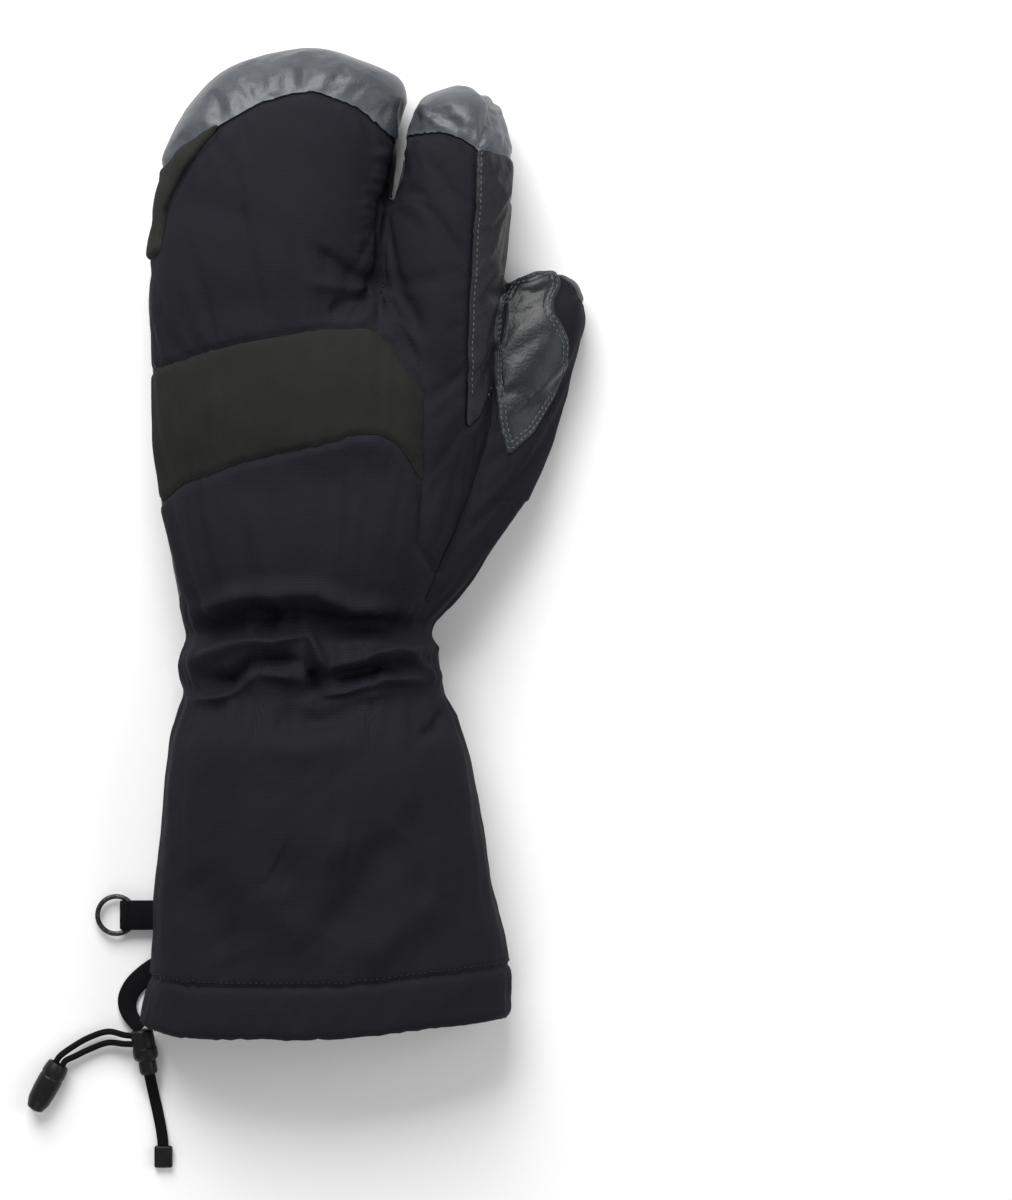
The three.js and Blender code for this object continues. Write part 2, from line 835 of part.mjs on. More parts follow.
// The cord lock is a small barrel with a flange at its mouth and a press button at its foot. Its axis
// lies on the floor; both strands of the cord cross it through one slot.
const lockRadius = lockDiameter / 2;
const lockProfile = [
  [0, 0],
  [0.82, 0],
  [0.95, 0.05],
  [0.95, 0.4],
  [1, 0.44],
  [1, 0.6],
  [0.9, 0.66],
  [0.72, 0.7],
  [0.72, 0.95],
  [0.6, 1],
  [0, 1],
].map(([r, h]) => new THREE.Vector2(r * lockRadius, h * lockLength));
const lockLean = 0.18;
const slotPlace = lockTop.clone().add(new THREE.Vector2(0, -cordDiameter - 3 * seamGap - 0.6));
const lockGeometry = new THREE.LatheGeometry(lockProfile, 14);
lockGeometry.rotateZ(Math.PI + lockLean);
lockGeometry.translate(lockTop.x, lockTop.y, lockRadius);
const slot = new THREE.BoxGeometry(
  4 * lockRadius,
  2 * (cordDiameter + 2 * seamGap),
  cordDiameter + 2 * seamGap,
);
slot.translate(slotPlace.x, slotPlace.y, lockRadius);
const cordLock = solid(lockGeometry).subtract(solid(slot));
const lockClear = new THREE.CylinderGeometry(
  lockRadius + seamGap,
  lockRadius + seamGap,
  lockLength + 2 * seamGap,
  20,
);
lockClear.translate(0, -lockLength / 2, 0);
lockClear.rotateZ(lockLean);
lockClear.translate(lockTop.x, lockTop.y, lockRadius);
add("lock_webbing", lockWebbing.subtract(cuffClear).subtract(solid(lockClear)), "tape");

// The two strands of the draw cord, each a list of chosen points from the hem through the lock to
// the tapered cord end.
const cordRoutes = {
  drawcord_upper: [
    [0, 0, 0],
    [-5, 0, 0],
    [-9.7, 0.3, -0.1],
    [-15.8, 1.5, -1],
    [-22.8, -0.7, -1.4],
    [-28.9, -4.2, -0.9],
    [-33.1, -7.4, -0.1],
    [-34.7, -10.3, -0.1],
    [-36, -12.7, -0.1],
  ],
  drawcord_lower: [
    [0, -2.8, 0],
    [-5, -2.8, 0],
    [-9.7, -2.8, -0.1],
    [-15.8, -2.4, -1],
    [-22.1, -4.6, -1.4],
    [-27.6, -7.2, -0.9],
    [-30.9, -8.8, -0.1],
    [-32.5, -11.5, -0.1],
    [-33.8, -13.9, -0.1],
  ],
};
const cordEndMouth = [-33.2, -9.8, 0];
const cordStart = new THREE.Vector3(
  slotPlace.x + lockRadius - seamGap,
  slotPlace.y + cordDiameter / 2 + seamGap,
  lockRadius,
);
function cordTube(points) {
  const route = new THREE.CatmullRomCurve3(
    points.map(([x, y, z]) => cordStart.clone().add(new THREE.Vector3(x, y, z))),
    false,
    "centripetal",
  );
  const section = new THREE.Shape();
  const sides = 8;
  for (let i = 0; i < sides; i += 1) {
    const angle = (2 * Math.PI * i) / sides;
    const x = (cordDiameter / 2) * Math.cos(angle);
    const y = (cordDiameter / 2) * Math.sin(angle);
    if (i === 0) section.moveTo(x, y);
    else section.lineTo(x, y);
  }
  return solid(new THREE.ExtrudeGeometry(section, { steps: 26, extrudePath: route }));
}
const strands = Object.values(cordRoutes).map(cordTube);
Object.keys(cordRoutes).forEach((name, i) => add(name, strands[i], "cord"));

// The cord end: a bell that lies on the floor, hollow at its mouth for the two strands.
const endRadius = cordEndDiameter / 2;
const endProfile = [
  [0, 0.24],
  [0.68, 0.24],
  [0.7, 0],
  [0.84, 0],
  [0.95, 0.12],
  [1, 0.5],
  [0.9, 0.8],
  [0.62, 0.96],
  [0, 1],
].map(([r, h]) => new THREE.Vector2(r * endRadius, h * cordEndLength));
const endGeometry = new THREE.LatheGeometry(endProfile, 14);
const endLean = 2.64;
endGeometry.rotateZ(endLean);
const endPlace = cordStart.clone().add(new THREE.Vector3(...cordEndMouth));
endGeometry.translate(endPlace.x, endPlace.y, endRadius);
add("cord_end", solid(endGeometry), "plastic");

// A short flat tape hangs from a slot in the lock's foot and ends in a moulded tab's slot. Its route
// is a list of chosen points from inside the foot to inside the tab.
const tapeRoute = [
  [0, 0, 0],
  [0.5, -2.6, 0],
  [1.2, -6.6, -1.8],
  [2, -11, -3.5],
  [3.2, -16.5, -3.9],
  [4.4, -22.5, -3.6],
  [5, -27, -3.1],
  [5.2, -30.6, -3.1],
];
const tapeStart = new THREE.Vector3(
  lockTop.x + Math.sin(lockLean) * (lockLength - tapeDepth),
  lockTop.y - Math.cos(lockLean) * (lockLength - tapeDepth),
  lockRadius,
);
const tapePoints = tapeRoute.map(([x, y, z]) => tapeStart.clone().add(new THREE.Vector3(x, y, z)));
const tapeSection = new THREE.Shape();
tapeSection.moveTo(-tapeThickness / 2, -tapeWidth / 2);
tapeSection.lineTo(tapeThickness / 2, -tapeWidth / 2);
tapeSection.lineTo(tapeThickness / 2, tapeWidth / 2);
tapeSection.lineTo(-tapeThickness / 2, tapeWidth / 2);
add(
  "pull_tape",
  solid(
    new THREE.ExtrudeGeometry(tapeSection, {
      steps: 16,
      extrudePath: new THREE.CatmullRomCurve3(tapePoints, false, "centripetal"),
    }),
  ),
  "tape",
);
function tapeSlot(middle, turn) {
  const box = new THREE.BoxGeometry(
    tapeWidth + 2 * seamGap,
    2 * (tapeDepth + seamGap),
    tapeThickness + 2 * seamGap,
  );
  box.rotateZ(turn);
  box.translate(middle.x, middle.y, middle.z);
  return solid(box);
}
const footMouth = tapeStart.clone().add(
  new THREE.Vector3(Math.sin(lockLean) * tapeDepth, -Math.cos(lockLean) * tapeDepth, 0),
);
add("cord_lock", cordLock.subtract(tapeSlot(footMouth, lockLean)), "plastic");
const tabMouth = tapePoints.at(-1).clone().add(new THREE.Vector3(0, tapeDepth, 0));
const pullTab = new THREE.BoxGeometry(tapeWidth + 2.4, tabLength, 2 * tabMouth.z);
pullTab.translate(tabMouth.x, tabMouth.y - tabLength / 2, tabMouth.z);
add("pull_tab", solid(pullTab).subtract(tapeSlot(tabMouth, 0)), "plastic");

// Materials and the scene graph.
const looks = {
  fabric: { color: 0x17171d, roughness: 0.85, metalness: 0 },
  softshell: { color: 0x24241f, roughness: 0.9, metalness: 0 },
  leather: { color: 0x3f4449, roughness: 0.5, metalness: 0 },
  tape: { color: 0x1b1b1f, roughness: 0.8, metalness: 0 },
  cord: { color: 0x16161a, roughness: 0.8, metalness: 0 },
  plastic: { color: 0x1d1d20, roughness: 0.45, metalness: 0 },
  metal: { color: 0x2a2a2c, roughness: 0.4, metalness: 0.8 },
};
const mitt = new THREE.Group();
mitt.name = "lobster_claw_mitt";
parts.forEach(({ name, body, stuff }) => {
  const mesh = new THREE.Mesh(geometryOf(body), new THREE.MeshStandardMaterial(looks[stuff]));
  mesh.name = name;
  mitt.add(mesh);
});

// The origin is the middle of the footprint, on the floor, of all but the loose cord and tape and
// what is on them.
const loose = [...Object.keys(cordRoutes), "cord_end", "pull_tape", "pull_tab"];
const box = new THREE.Box3();
mitt.children
  .filter((mesh) => !loose.includes(mesh.name))
  .forEach((mesh) => box.expandByObject(mesh));
const middle = box.getCenter(new THREE.Vector3());
mitt.position.set(-middle.x, -middle.y, 0);

export default mitt;
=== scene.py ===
import math

import bmesh
import bpy
import numpy as np
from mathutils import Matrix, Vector
from mathutils.bvhtree import BVHTree
from mathutils.kdtree import KDTree


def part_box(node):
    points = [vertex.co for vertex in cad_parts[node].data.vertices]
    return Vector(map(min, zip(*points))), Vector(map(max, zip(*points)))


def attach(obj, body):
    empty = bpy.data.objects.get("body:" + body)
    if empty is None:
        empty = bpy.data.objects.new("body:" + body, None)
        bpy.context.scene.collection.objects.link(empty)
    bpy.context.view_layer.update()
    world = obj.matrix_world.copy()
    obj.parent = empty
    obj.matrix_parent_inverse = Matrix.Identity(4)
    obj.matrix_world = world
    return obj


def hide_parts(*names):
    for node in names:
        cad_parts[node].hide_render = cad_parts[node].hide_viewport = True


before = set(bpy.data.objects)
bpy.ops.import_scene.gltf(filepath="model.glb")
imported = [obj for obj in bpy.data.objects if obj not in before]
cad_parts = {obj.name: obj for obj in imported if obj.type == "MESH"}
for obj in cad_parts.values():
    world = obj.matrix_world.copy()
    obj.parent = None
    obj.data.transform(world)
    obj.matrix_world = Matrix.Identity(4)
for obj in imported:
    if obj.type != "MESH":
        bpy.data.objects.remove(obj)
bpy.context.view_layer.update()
MM = 0.001

# The view. The pair was photographed from straight above on a white ground, with broad soft lights
# that leave only a faint shadow. A photograph's pixel is 0.35 mm wide on the mitt, and the pixel
# (325, 1038) is the middle of the hem's edge.
PIXEL = 0.35 * MM
HEM_PIXEL = (325, 1038)
HEM_MIDDLE = (-4.803 * MM, -165.571 * MM)
PHOTO_MIDDLE = (506, 600)
PHOTO_HEIGHT = 1200
CAMERA_HEIGHT = 1.7
MITT_MIDDLE = 0.02


def spot(pixel):
    """The place on the ground under a pixel of the photograph."""
    return (
        HEM_MIDDLE[0] + (pixel[0] - HEM_PIXEL[0]) * PIXEL,
        HEM_MIDDLE[1] + (HEM_PIXEL[1] - pixel[1]) * PIXEL,
    )


camera_data = bpy.data.cameras.new("view_from_above")
camera_data.sensor_width = 36
camera_data.lens = 36 * (CAMERA_HEIGHT - MITT_MIDDLE) / (PHOTO_HEIGHT * PIXEL)
camera = bpy.data.objects.new("view_from_above", camera_data)
camera.location = (*spot(PHOTO_MIDDLE), CAMERA_HEIGHT)
bpy.context.collection.objects.link(camera)
bpy.context.scene.camera = camera


class Value:
    """A number in a material's nodes. Arithmetic on it adds Math nodes."""

    def __init__(self, finish, socket):
        self.finish, self.socket = finish, socket

    def _join(self, operation, other, turned=False):
        pair = (other, self) if turned else (self, other)
        return self.finish.node("ShaderNodeMath", {"operation": operation}, dict(enumerate(pair)))

    def __add__(self, other):
        return self._join("ADD", other)

    def __sub__(self, other):
        return self._join("SUBTRACT", other)

    def __rsub__(self, other):
        return self._join("SUBTRACT", other, True)

    def __mul__(self, other):
        return self._join("MULTIPLY", other)

    def __truediv__(self, other):
        return self._join("DIVIDE", other)

    def __pow__(self, other):
        return self._join("POWER", other)

    __radd__ = __add__
    __rmul__ = __mul__

    def sine(self):
        return self.finish.node("ShaderNodeMath", {"operation": "SINE"}, {0: self})

    def larger(self, other):
        return self._join("MAXIMUM", other)

    def spread(self, low, high, start=0.0, end=1.0):
        """This value from low to high, carried over to start to end and kept between them."""
        ranges = {1: low, 2: high, 3: start, 4: end}
        return self.finish.node("ShaderNodeMapRange", {"clamp": True}, {0: self, **ranges})


class Finish:
    """A material with a Principled shader. Its plain sockets are set when it is made."""

    def __init__(self, name, **plain):
        self.material = bpy.data.materials.new(name)
        self.material.use_nodes = True
        self.tree = self.material.node_tree
        self.shader = self.tree.nodes["Principled BSDF"]
        for socket, value in plain.items():
            self.shader.inputs[socket.replace("_", " ")].default_value = value

    def node(self, kind, settings, sockets, output=0):
        made = self.tree.nodes.new(kind)
        for name, value in settings.items():
            setattr(made, name, value)
        for name, value in sockets.items():
            if isinstance(value, Value):
                self.tree.links.new(value.socket, made.inputs[name])
            else:
                made.inputs[name].default_value = value
        return Value(self, made.outputs[output])

    def feed(self, socket, value):
        self.tree.links.new(value.socket, self.shader.inputs[socket])

    def place(self):
        """The point's place in the mitt's own metres."""
        return self.node("ShaderNodeTexCoord", {}, {}, output=3)

    def cloth(self):
        """The point's place on the laid out cloth, across and along, in metres."""
        laid = self.node("ShaderNodeUVMap", {"uv_map": "cloth"}, {})
        split = self.tree.nodes.new("ShaderNodeSeparateXYZ")
        self.tree.links.new(laid.socket, split.inputs[0])
        return Value(self, split.outputs[0]), Value(self, split.outputs[1])

    def speckle(self, size, detail=2.0, roughness=0.5, place=None):
        """Noise from 0 to 1 with grains of one size."""
        sockets = {"Vector": place or self.place(), "Scale": 1 / size, "Detail": detail}
        return self.node("ShaderNodeTexNoise", {}, {**sockets, "Roughness": roughness})

    def blend(self, share, first, second):
        """A colour between two, by a share from 0 to 1."""
        settings = {"data_type": "RGBA"}
        sockets = {0: share, 6: first if isinstance(first, Value) else (*first, 1)}
        sockets[7] = second if isinstance(second, Value) else (*second, 1)
        return self.node("ShaderNodeMix", settings, sockets, output=2)

    def bump(self, height, depth, under=None):
        """Relief whose height of 1 stands for a depth in metres."""
        sockets = {"Height": height, "Distance": depth, "Strength": 1.0}
        if under is not None:
            sockets["Normal"] = under
        return self.node("ShaderNodeBump", {}, sockets)


# The ground is a plain pale sheet, wide enough for every side view.
GROUND_HALF = 3.0
GROUND_GAP = 0.25 * MM
ground_finish = Finish("ground_paper", Roughness=0.9)
paper = ground_finish.speckle(3 * MM)
ground_finish.feed("Base Color", ground_finish.blend(paper, (0.86, 0.86, 0.86), (0.88, 0.88, 0.88)))
ground_mesh = bpy.data.meshes.new("ground")
ground_mesh.from_pydata(
    [(x * GROUND_HALF, y * GROUND_HALF, -GROUND_GAP) for x, y in ((-1, -1), (1, -1), (1, 1), (-1, 1))],
    [],
    [(0, 1, 2, 3)],
)
ground = bpy.data.objects.new("ground", ground_mesh)
ground.data.materials.append(ground_finish.material)
bpy.context.collection.objects.link(ground)

# Three broad lights: one over the fingertips, a weaker one from the thumb's side, and the sky.
for name, place, size, watts in (
    ("light_top", (-0.25, 0.95, 0.85), 0.9, 24),
    ("light_side", (1.1, 0.05, 0.9), 0.9, 6),
    ("light_foot", (-0.5, -1.1, 0.9), 0.9, 3),
):
    lamp = bpy.data.lights.new(name, "AREA")
    lamp.size, lamp.energy = size, watts
    light = bpy.data.objects.new(name, lamp)
    light.location = place
    light.rotation_mode = "QUATERNION"
    light.rotation_quaternion = (Vector((0, 0, 0.02)) - Vector(place)).to_track_quat("-Z", "Y")
    bpy.context.collection.objects.link(light)
sky = bpy.data.worlds.new("studio")
sky.use_nodes = True
sky.node_tree.nodes["Background"].inputs[0].default_value = (1, 1, 1, 1)
sky.node_tree.nodes["Background"].inputs[1].default_value = 0.35
bpy.context.scene.world = sky
bpy.context.scene.view_settings.view_transform = "Standard"

# The draw cord. Two strands of thin braided cord leave the lock at the gauntlet's lower corner and
# lie on the table, and both end in one moulded bell. The routes' points are those of the model.
CORD = 2.2 * MM
CORD_START = (-66.203 * MM, -166.327 * MM, 4.4 * MM)
STRANDS = {
    "drawcord_upper": (
        (0, 0, 0), (-5, 0, 0), (-9.7, 0.3, -0.1), (-15.8, 1.5, -1), (-22.8, -0.7, -1.4),
        (-28.9, -4.2, -0.9), (-33.1, -7.4, -0.1), (-34.7, -10.3, -0.1), (-36, -12.7, -0.1),
    ),
    "drawcord_lower": (
        (0, -2.8, 0), (-5, -2.8, 0), (-9.7, -2.8, -0.1), (-15.8, -2.4, -1), (-22.1, -4.6, -1.4),
        (-27.6, -7.2, -0.9), (-30.9, -8.8, -0.1), (-32.5, -11.5, -0.1), (-33.8, -13.9, -0.1),
    ),
}
CORD_SIDES = 16
BELL_MOUTH = (-33.2, -9.8, 0)
BELL_LEAN = 2.64
BELL_LENGTH = 19 * MM
BELL_WIDTH = 8.6 * MM


def route_points(points, start, step):
    """A smooth route through chosen points, given in millimetres from its start."""
    chosen = np.array(points) * MM + np.array(start)
    gaps = np.sqrt(np.linalg.norm(np.diff(chosen, axis=0), axis=1))
    knots = np.concatenate([[0], np.cumsum(gaps)])
    slopes = np.gradient(chosen, knots, axis=0)
    length = np.linalg.norm(np.diff(chosen, axis=0), axis=1).sum()
    at = np.linspace(0, knots[-1], int(length / step) + 2)
    piece = np.clip(np.searchsorted(knots, at, side="right") - 1, 0, len(chosen) - 2)
    width = (knots[piece + 1] - knots[piece])[:, None]
    t = (at - knots[piece])[:, None] / width
    return (
        (2 * t**3 - 3 * t**2 + 1) * chosen[piece]
        + (t**3 - 2 * t**2 + t) * width * slopes[piece]
        + (3 * t**2 - 2 * t**3) * chosen[piece + 1]
        + (t**3 - t**2) * width * slopes[piece + 1]
    )


def place_object(name, mesh, material=None):
    """Puts a finished mesh in the scene with its place in its points."""
    mesh.name = name
    made = bpy.data.objects.new(name, mesh)
    bpy.context.collection.objects.link(made)
    if material is not None:
        made.data.materials.append(material)
    return made


def ringed_mesh(name, rings, smooth=True):
    """A closed body through rings of points, with its surface laid out along and round in metres."""
    rings = np.asarray(rings)
    rows, sides = rings.shape[:2]
    along = np.linalg.norm(np.diff(rings.mean(axis=1), axis=0), axis=1)
    along = np.concatenate([[0], np.cumsum(along)])
    round_it = np.linalg.norm(np.diff(rings[rows // 2], axis=0, append=rings[rows // 2][:1]), axis=1)
    across = np.concatenate([[0], np.cumsum(round_it)])
    made = bmesh.new()
    points = [[made.verts.new(point) for point in ring] for ring in rings]
    laid = made.loops.layers.uv.new("cloth")
    for r in range(rows - 1):
        for k in range(sides):
            after = (k + 1) % sides
            corners = (points[r][k], points[r][after], points[r + 1][after], points[r + 1][k])
            face = made.faces.new(corners)
            places = ((k, r), (k + 1, r), (k + 1, r + 1), (k, r + 1))
            for loop, (column, row) in zip(face.loops, places):
                loop[laid].uv = (across[column], along[row])
    for end in (points[0], points[-1]):
        face = made.faces.new(end)
        for loop in face.loops:
            loop[laid].uv = (0, 0)
    bmesh.ops.recalc_face_normals(made, faces=made.faces)
    for face in made.faces:
        face.smooth = smooth
    mesh = bpy.data.meshes.new(name)
    made.to_mesh(mesh)
    made.free()
    return mesh


def swept(name, route, section):
    """A closed body that carries a section along a route near the ground."""
    route = np.asarray(route)
    tangent = np.gradient(route, axis=0)
    tangent /= np.linalg.norm(tangent, axis=1)[:, None]
    side = np.cross(tangent, (0, 0, 1))
    side /= np.linalg.norm(side, axis=1)[:, None]
    rise = np.cross(side, tangent)
    section = np.asarray(section)
    rings = (
        route[:, None, :]
        + side[:, None, :] * section[None, :, :1]
        + rise[:, None, :] * section[None, :, 1:]
    )
    return ringed_mesh(name, rings)


def turned(name, profile, mouth, lean, sides=48):
    """A moulded piece turned about an axis that lies level and leaves its mouth along its lean.
    The profile lists radius and depth in metres, from the axis at the mouth to the axis at the foot."""
    axis = np.array((-math.sin(lean), math.cos(lean), 0))
    side = np.array((axis[1], -axis[0], 0))
    rise = np.array((0, 0, 1))
    made = bmesh.new()
    rings = []
    for radius, depth in profile:
        middle = np.array(mouth) + axis * depth
        if radius <= 0:
            rings.append([made.verts.new(middle)])
            continue
        turn = [2 * math.pi * k / sides for k in range(sides)]
        rings.append(
            [
                made.verts.new(middle + radius * (side * math.cos(a) + rise * math.sin(a)))
                for a in turn
            ]
        )
    for first, second in zip(rings, rings[1:]):
        for k in range(sides):
            corners = [first[k % len(first)], first[(k + 1) % len(first)]]
            corners += [second[(k + 1) % len(second)], second[k % len(second)]]
            made.faces.new(list(dict.fromkeys(corners)))
    bmesh.ops.recalc_face_normals(made, faces=made.faces)
    for face in made.faces:
        face.smooth = True
    mesh = bpy.data.meshes.new(name)
    made.to_mesh(mesh)
    made.free()
    return mesh


def rounded_profile(points, radius, steps=4):
    """A turned profile whose inner corners are rounded off."""
    points = [np.array(point, float) for point in points]
    made = [points[0]]
    for before, corner, after in zip(points, points[1:], points[2:]):
        back, on = before - corner, after - corner
        reach = min(radius, np.linalg.norm(back) / 2.2, np.linalg.norm(on) / 2.2)
        start = corner + back / np.linalg.norm(back) * reach
        end = corner + on / np.linalg.norm(on) * reach
        for k in range(steps + 1):
            t = k / steps
            made.append((1 - t) ** 2 * start + 2 * t * (1 - t) * corner + t**2 * end)
    return made + [points[-1]]


def braid_finish(name, dark, light, strands_across):
    """Braided or woven yarn: two families of slanting ribs that pass over and under each other."""
    finish = Finish(name, Roughness=0.8, Specular_IOR_Level=0.05)
    across, along = finish.cloth()
    turn = 2 * math.pi * strands_across
    one = ((across + along) * turn).sine()
    other = ((across - along) * turn).sine()
    over = (one * other).spread(-1, 1)
    fuzz = finish.speckle(0.25 * MM, 3)
    finish.feed("Base Color", finish.blend(over * 0.7 + fuzz * 0.3, dark, light))
    finish.feed("Roughness", fuzz.spread(0.2, 0.8, 0.65, 0.9))
    finish.feed("Normal", finish.bump(over + fuzz * 0.3, 0.16 * MM))
    return finish


def moulded_finish(name, colour, roughness):
    """Moulded plastic or rubber with a fine spark-eroded grain and a few handling marks."""
    finish = Finish(name, Specular_IOR_Level=0.25)
    grain = finish.speckle(0.18 * MM, 2)
    marks = finish.speckle(2.5 * MM, 4, 0.65)
    wear_and_highlight = marks.spread(0.58, 0.78)
    light = tuple(c * 1.9 + 0.004 for c in colour)
    finish.feed("Base Color", finish.blend(wear_and_highlight * 0.6, colour, light))
    finish.feed("Roughness", marks.spread(0.3, 0.7, roughness - 0.07, roughness + 0.1))
    finish.feed("Normal", finish.bump(grain, 0.02 * MM))
    return finish


cord_braid = braid_finish("cord_braid", (0.0012, 0.0012, 0.0015), (0.012, 0.012, 0.014), 1 / (1.3 * MM))
lock_plastic = moulded_finish("lock_plastic", (0.0042, 0.0044, 0.0048), 0.4)
bell_at = [CORD_START[k] + BELL_MOUTH[k] * MM for k in range(2)] + [BELL_WIDTH / 2]
bell_half = BELL_WIDTH / 2
bell_profile = [
    (0, 0.24), (0.68, 0.24), (0.71, 0), (0.86, 0), (0.97, 0.12), (1.0, 0.22), (0.95, 0.25),
    (0.95, 0.28), (1.0, 0.31), (1.0, 0.55), (0.93, 0.78), (0.66, 0.95), (0, 1),
]
cord_end = place_object(
    "cord_end_bell",
    turned(
        "cord_end_bell",
        rounded_profile([(r * bell_half, h * BELL_LENGTH) for r, h in bell_profile], 0.5 * MM),
        bell_at,
        BELL_LEAN,
    ),
    lock_plastic.material,
)
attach(cord_end, "root")
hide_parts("cord_end")
for name, points in STRANDS.items():
    route = route_points(points, CORD_START, 0.35 * MM)
    turn = np.arange(CORD_SIDES) * 2 * math.pi / CORD_SIDES
    section = np.stack([np.cos(turn), np.sin(turn)], axis=1) * CORD / 2
    strand = place_object(name + "_braid", swept(name, route, section), cord_braid.material)
    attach(strand, "root")
    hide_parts(name)
    [tuple(point) for point in route[::3]] + [tuple(route[-1])]

# The cord lock: a moulded barrel with a flange, a press button at its foot, and one slot across it
# for both strands. Its axis lies level, pointing down the photograph.
LOCK_TOP = (-70.303 * MM, -164.027 * MM, 4.4 * MM)
LOCK_LEAN = math.pi + 0.18
LOCK_LENGTH = 16 * MM
LOCK_HALF = 4.4 * MM
SLOT_DOWN = 3.7 * MM
lock_profile = [
    (0, 0.0), (0.82, 0.0), (0.93, 0.05), (0.95, 0.2), (0.95, 0.41), (1.0, 0.45), (1.0, 0.6),
    (0.9, 0.66), (0.72, 0.685), (0.7, 0.72), (0.72, 0.74), (0.72, 0.94), (0.6, 1.0), (0, 1.0),
]


def cut_out(thing, low, high, turn=0.0):
    """Cuts a box out of a piece. The box is turned about its own upright middle."""
    middle = (Vector(low) + Vector(high)) / 2
    made = bmesh.new()
    bmesh.ops.create_cube(made, size=1)
    size = Vector(high) - Vector(low)
    for vert in made.verts:
        x, y = vert.co.x * size.x, vert.co.y * size.y
        vert.co = middle + Vector(
            (
                x * math.cos(turn) - y * math.sin(turn),
                x * math.sin(turn) + y * math.cos(turn),
                vert.co.z * size.z,
            )
        )
    cutter_mesh = bpy.data.meshes.new("cutter")
    made.to_mesh(cutter_mesh)
    made.free()
    cutter = bpy.data.objects.new("cutter", cutter_mesh)
    bpy.context.collection.objects.link(cutter)
    cut = thing.modifiers.new("cut", "BOOLEAN")
    cut.object, cut.operation, cut.solver = cutter, "DIFFERENCE", "EXACT"
    baked = bpy.data.meshes.new_from_object(
        thing.evaluated_get(bpy.context.evaluated_depsgraph_get())
    )
    thing.modifiers.clear()
    thing.data = baked
    bpy.data.objects.remove(cutter)


cord_lock = place_object(
    "cord_lock_barrel",
    turned(
        "cord_lock_barrel",
        rounded_profile([(r * LOCK_HALF, h * LOCK_LENGTH) for r, h in lock_profile], 0.35 * MM),
        LOCK_TOP,
        LOCK_LEAN,
    ),
    lock_plastic.material,
)
slot_y = LOCK_TOP[1] - SLOT_DOWN
cut_out(
    cord_lock,
    (LOCK_TOP[0] - 9 * MM, slot_y - 2.8 * MM, LOCK_TOP[2] - 1.4 * MM),
    (LOCK_TOP[0] + 9 * MM, slot_y + 2.8 * MM, LOCK_TOP[2] + 1.4 * MM),
)
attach(cord_lock, "root")
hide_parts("cord_lock")

# The pull tape: a narrow flat woven tape hangs from the lock's foot and ends in a moulded tab.
TAPE_START = (-67.886 * MM, -177.309 * MM, 4.4 * MM)
TAPE_ROUTE = (
    (0, 0, 0), (0.5, -2.6, 0), (1.2, -6.6, -1.8), (2, -11, -3.5), (3.2, -16.5, -3.9),
    (4.4, -22.5, -3.6), (5, -27, -3.1), (5.2, -30.6, -3.1),
)
TAPE_WIDTH = 4 * MM
TAPE_THICK = 0.9 * MM
TAB_WIDTH = 6.4 * MM
TAB_LENGTH = 7.7 * MM
TAB_THICK = 2.6 * MM
TAPE_IN_TAB = 2.5 * MM


def strap_section(width, thickness, steps=3):
    """A strap's section: flat, with round edges."""
    half, bend = width / 2 - thickness / 2, thickness / 2
    section = []
    for side in (1, -1):
        for k in range(steps + 1):
            turn = side * (-math.pi / 2 + math.pi * k / steps)
            section.append((side * (half + bend * math.cos(turn)), bend * math.sin(turn)))
    return section


def rounded_block(name, low, high, edge, segments=3):
    """A moulded block with rounded edges."""
    made = bmesh.new()
    bmesh.ops.create_cube(made, size=1)
    middle, size = (Vector(low) + Vector(high)) / 2, Vector(high) - Vector(low)
    for vert in made.verts:
        vert.co = middle + Vector([vert.co[k] * size[k] for k in range(3)])
    bmesh.ops.bevel(
        made, geom=made.edges[:], offset=edge, segments=segments, profile=0.5, affect="EDGES"
    )
    for face in made.faces:
        face.smooth = True
    bmesh.ops.recalc_face_normals(made, faces=made.faces)
    mesh = bpy.data.meshes.new(name)
    made.to_mesh(mesh)
    made.free()
    return mesh


def webbing_finish(name, dark, light, rib=0.55 * MM):
    """Woven webbing: ribs along the strap, crossed by fine picks, with a slightly fuzzy face."""
    finish = Finish(name, Roughness=0.85, Specular_IOR_Level=0.05)
    across, along = finish.cloth()
    ribs = (across * (2 * math.pi / rib)).sine()
    picks = (along * (2 * math.pi / (rib * 1.3)) + ribs * 1.2).sine()
    weave = (ribs * 0.5 + picks * 0.5).spread(-1, 1)
    fuzz = finish.speckle(0.3 * MM, 3)
    finish.feed("Base Color", finish.blend(weave * 0.6 + fuzz * 0.4, dark, light))
    finish.feed("Roughness", fuzz.spread(0.2, 0.8, 0.7, 0.92))
    finish.feed("Normal", finish.bump(weave + fuzz * 0.3, 0.12 * MM))
    return finish


black_webbing = webbing_finish("black_webbing", (0.0015, 0.0015, 0.0018), (0.0105, 0.0105, 0.0125))
tape_route = route_points(TAPE_ROUTE, TAPE_START, 0.6 * MM)
tape_end = tape_route[-1]
tab_low = (tape_end[0] - TAB_WIDTH / 2, tape_end[1] + TAPE_IN_TAB - TAB_LENGTH, 0)
tab_high = (tape_end[0] + TAB_WIDTH / 2, tape_end[1] + TAPE_IN_TAB, TAB_THICK)
pull_tab = place_object(
    "pull_tab_moulding",
    rounded_block("pull_tab_moulding", tab_low, tab_high, 0.7 * MM),
    lock_plastic.material,
)
cut_out(
    pull_tab,
    (tape_end[0] - 2.3 * MM, tape_end[1] - 0.3 * MM, tape_end[2] - 0.75 * MM),
    (tape_end[0] + 2.3 * MM, tape_end[1] + 6 * MM, tape_end[2] + 0.75 * MM),
)
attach(pull_tab, "root")
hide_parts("pull_tab")
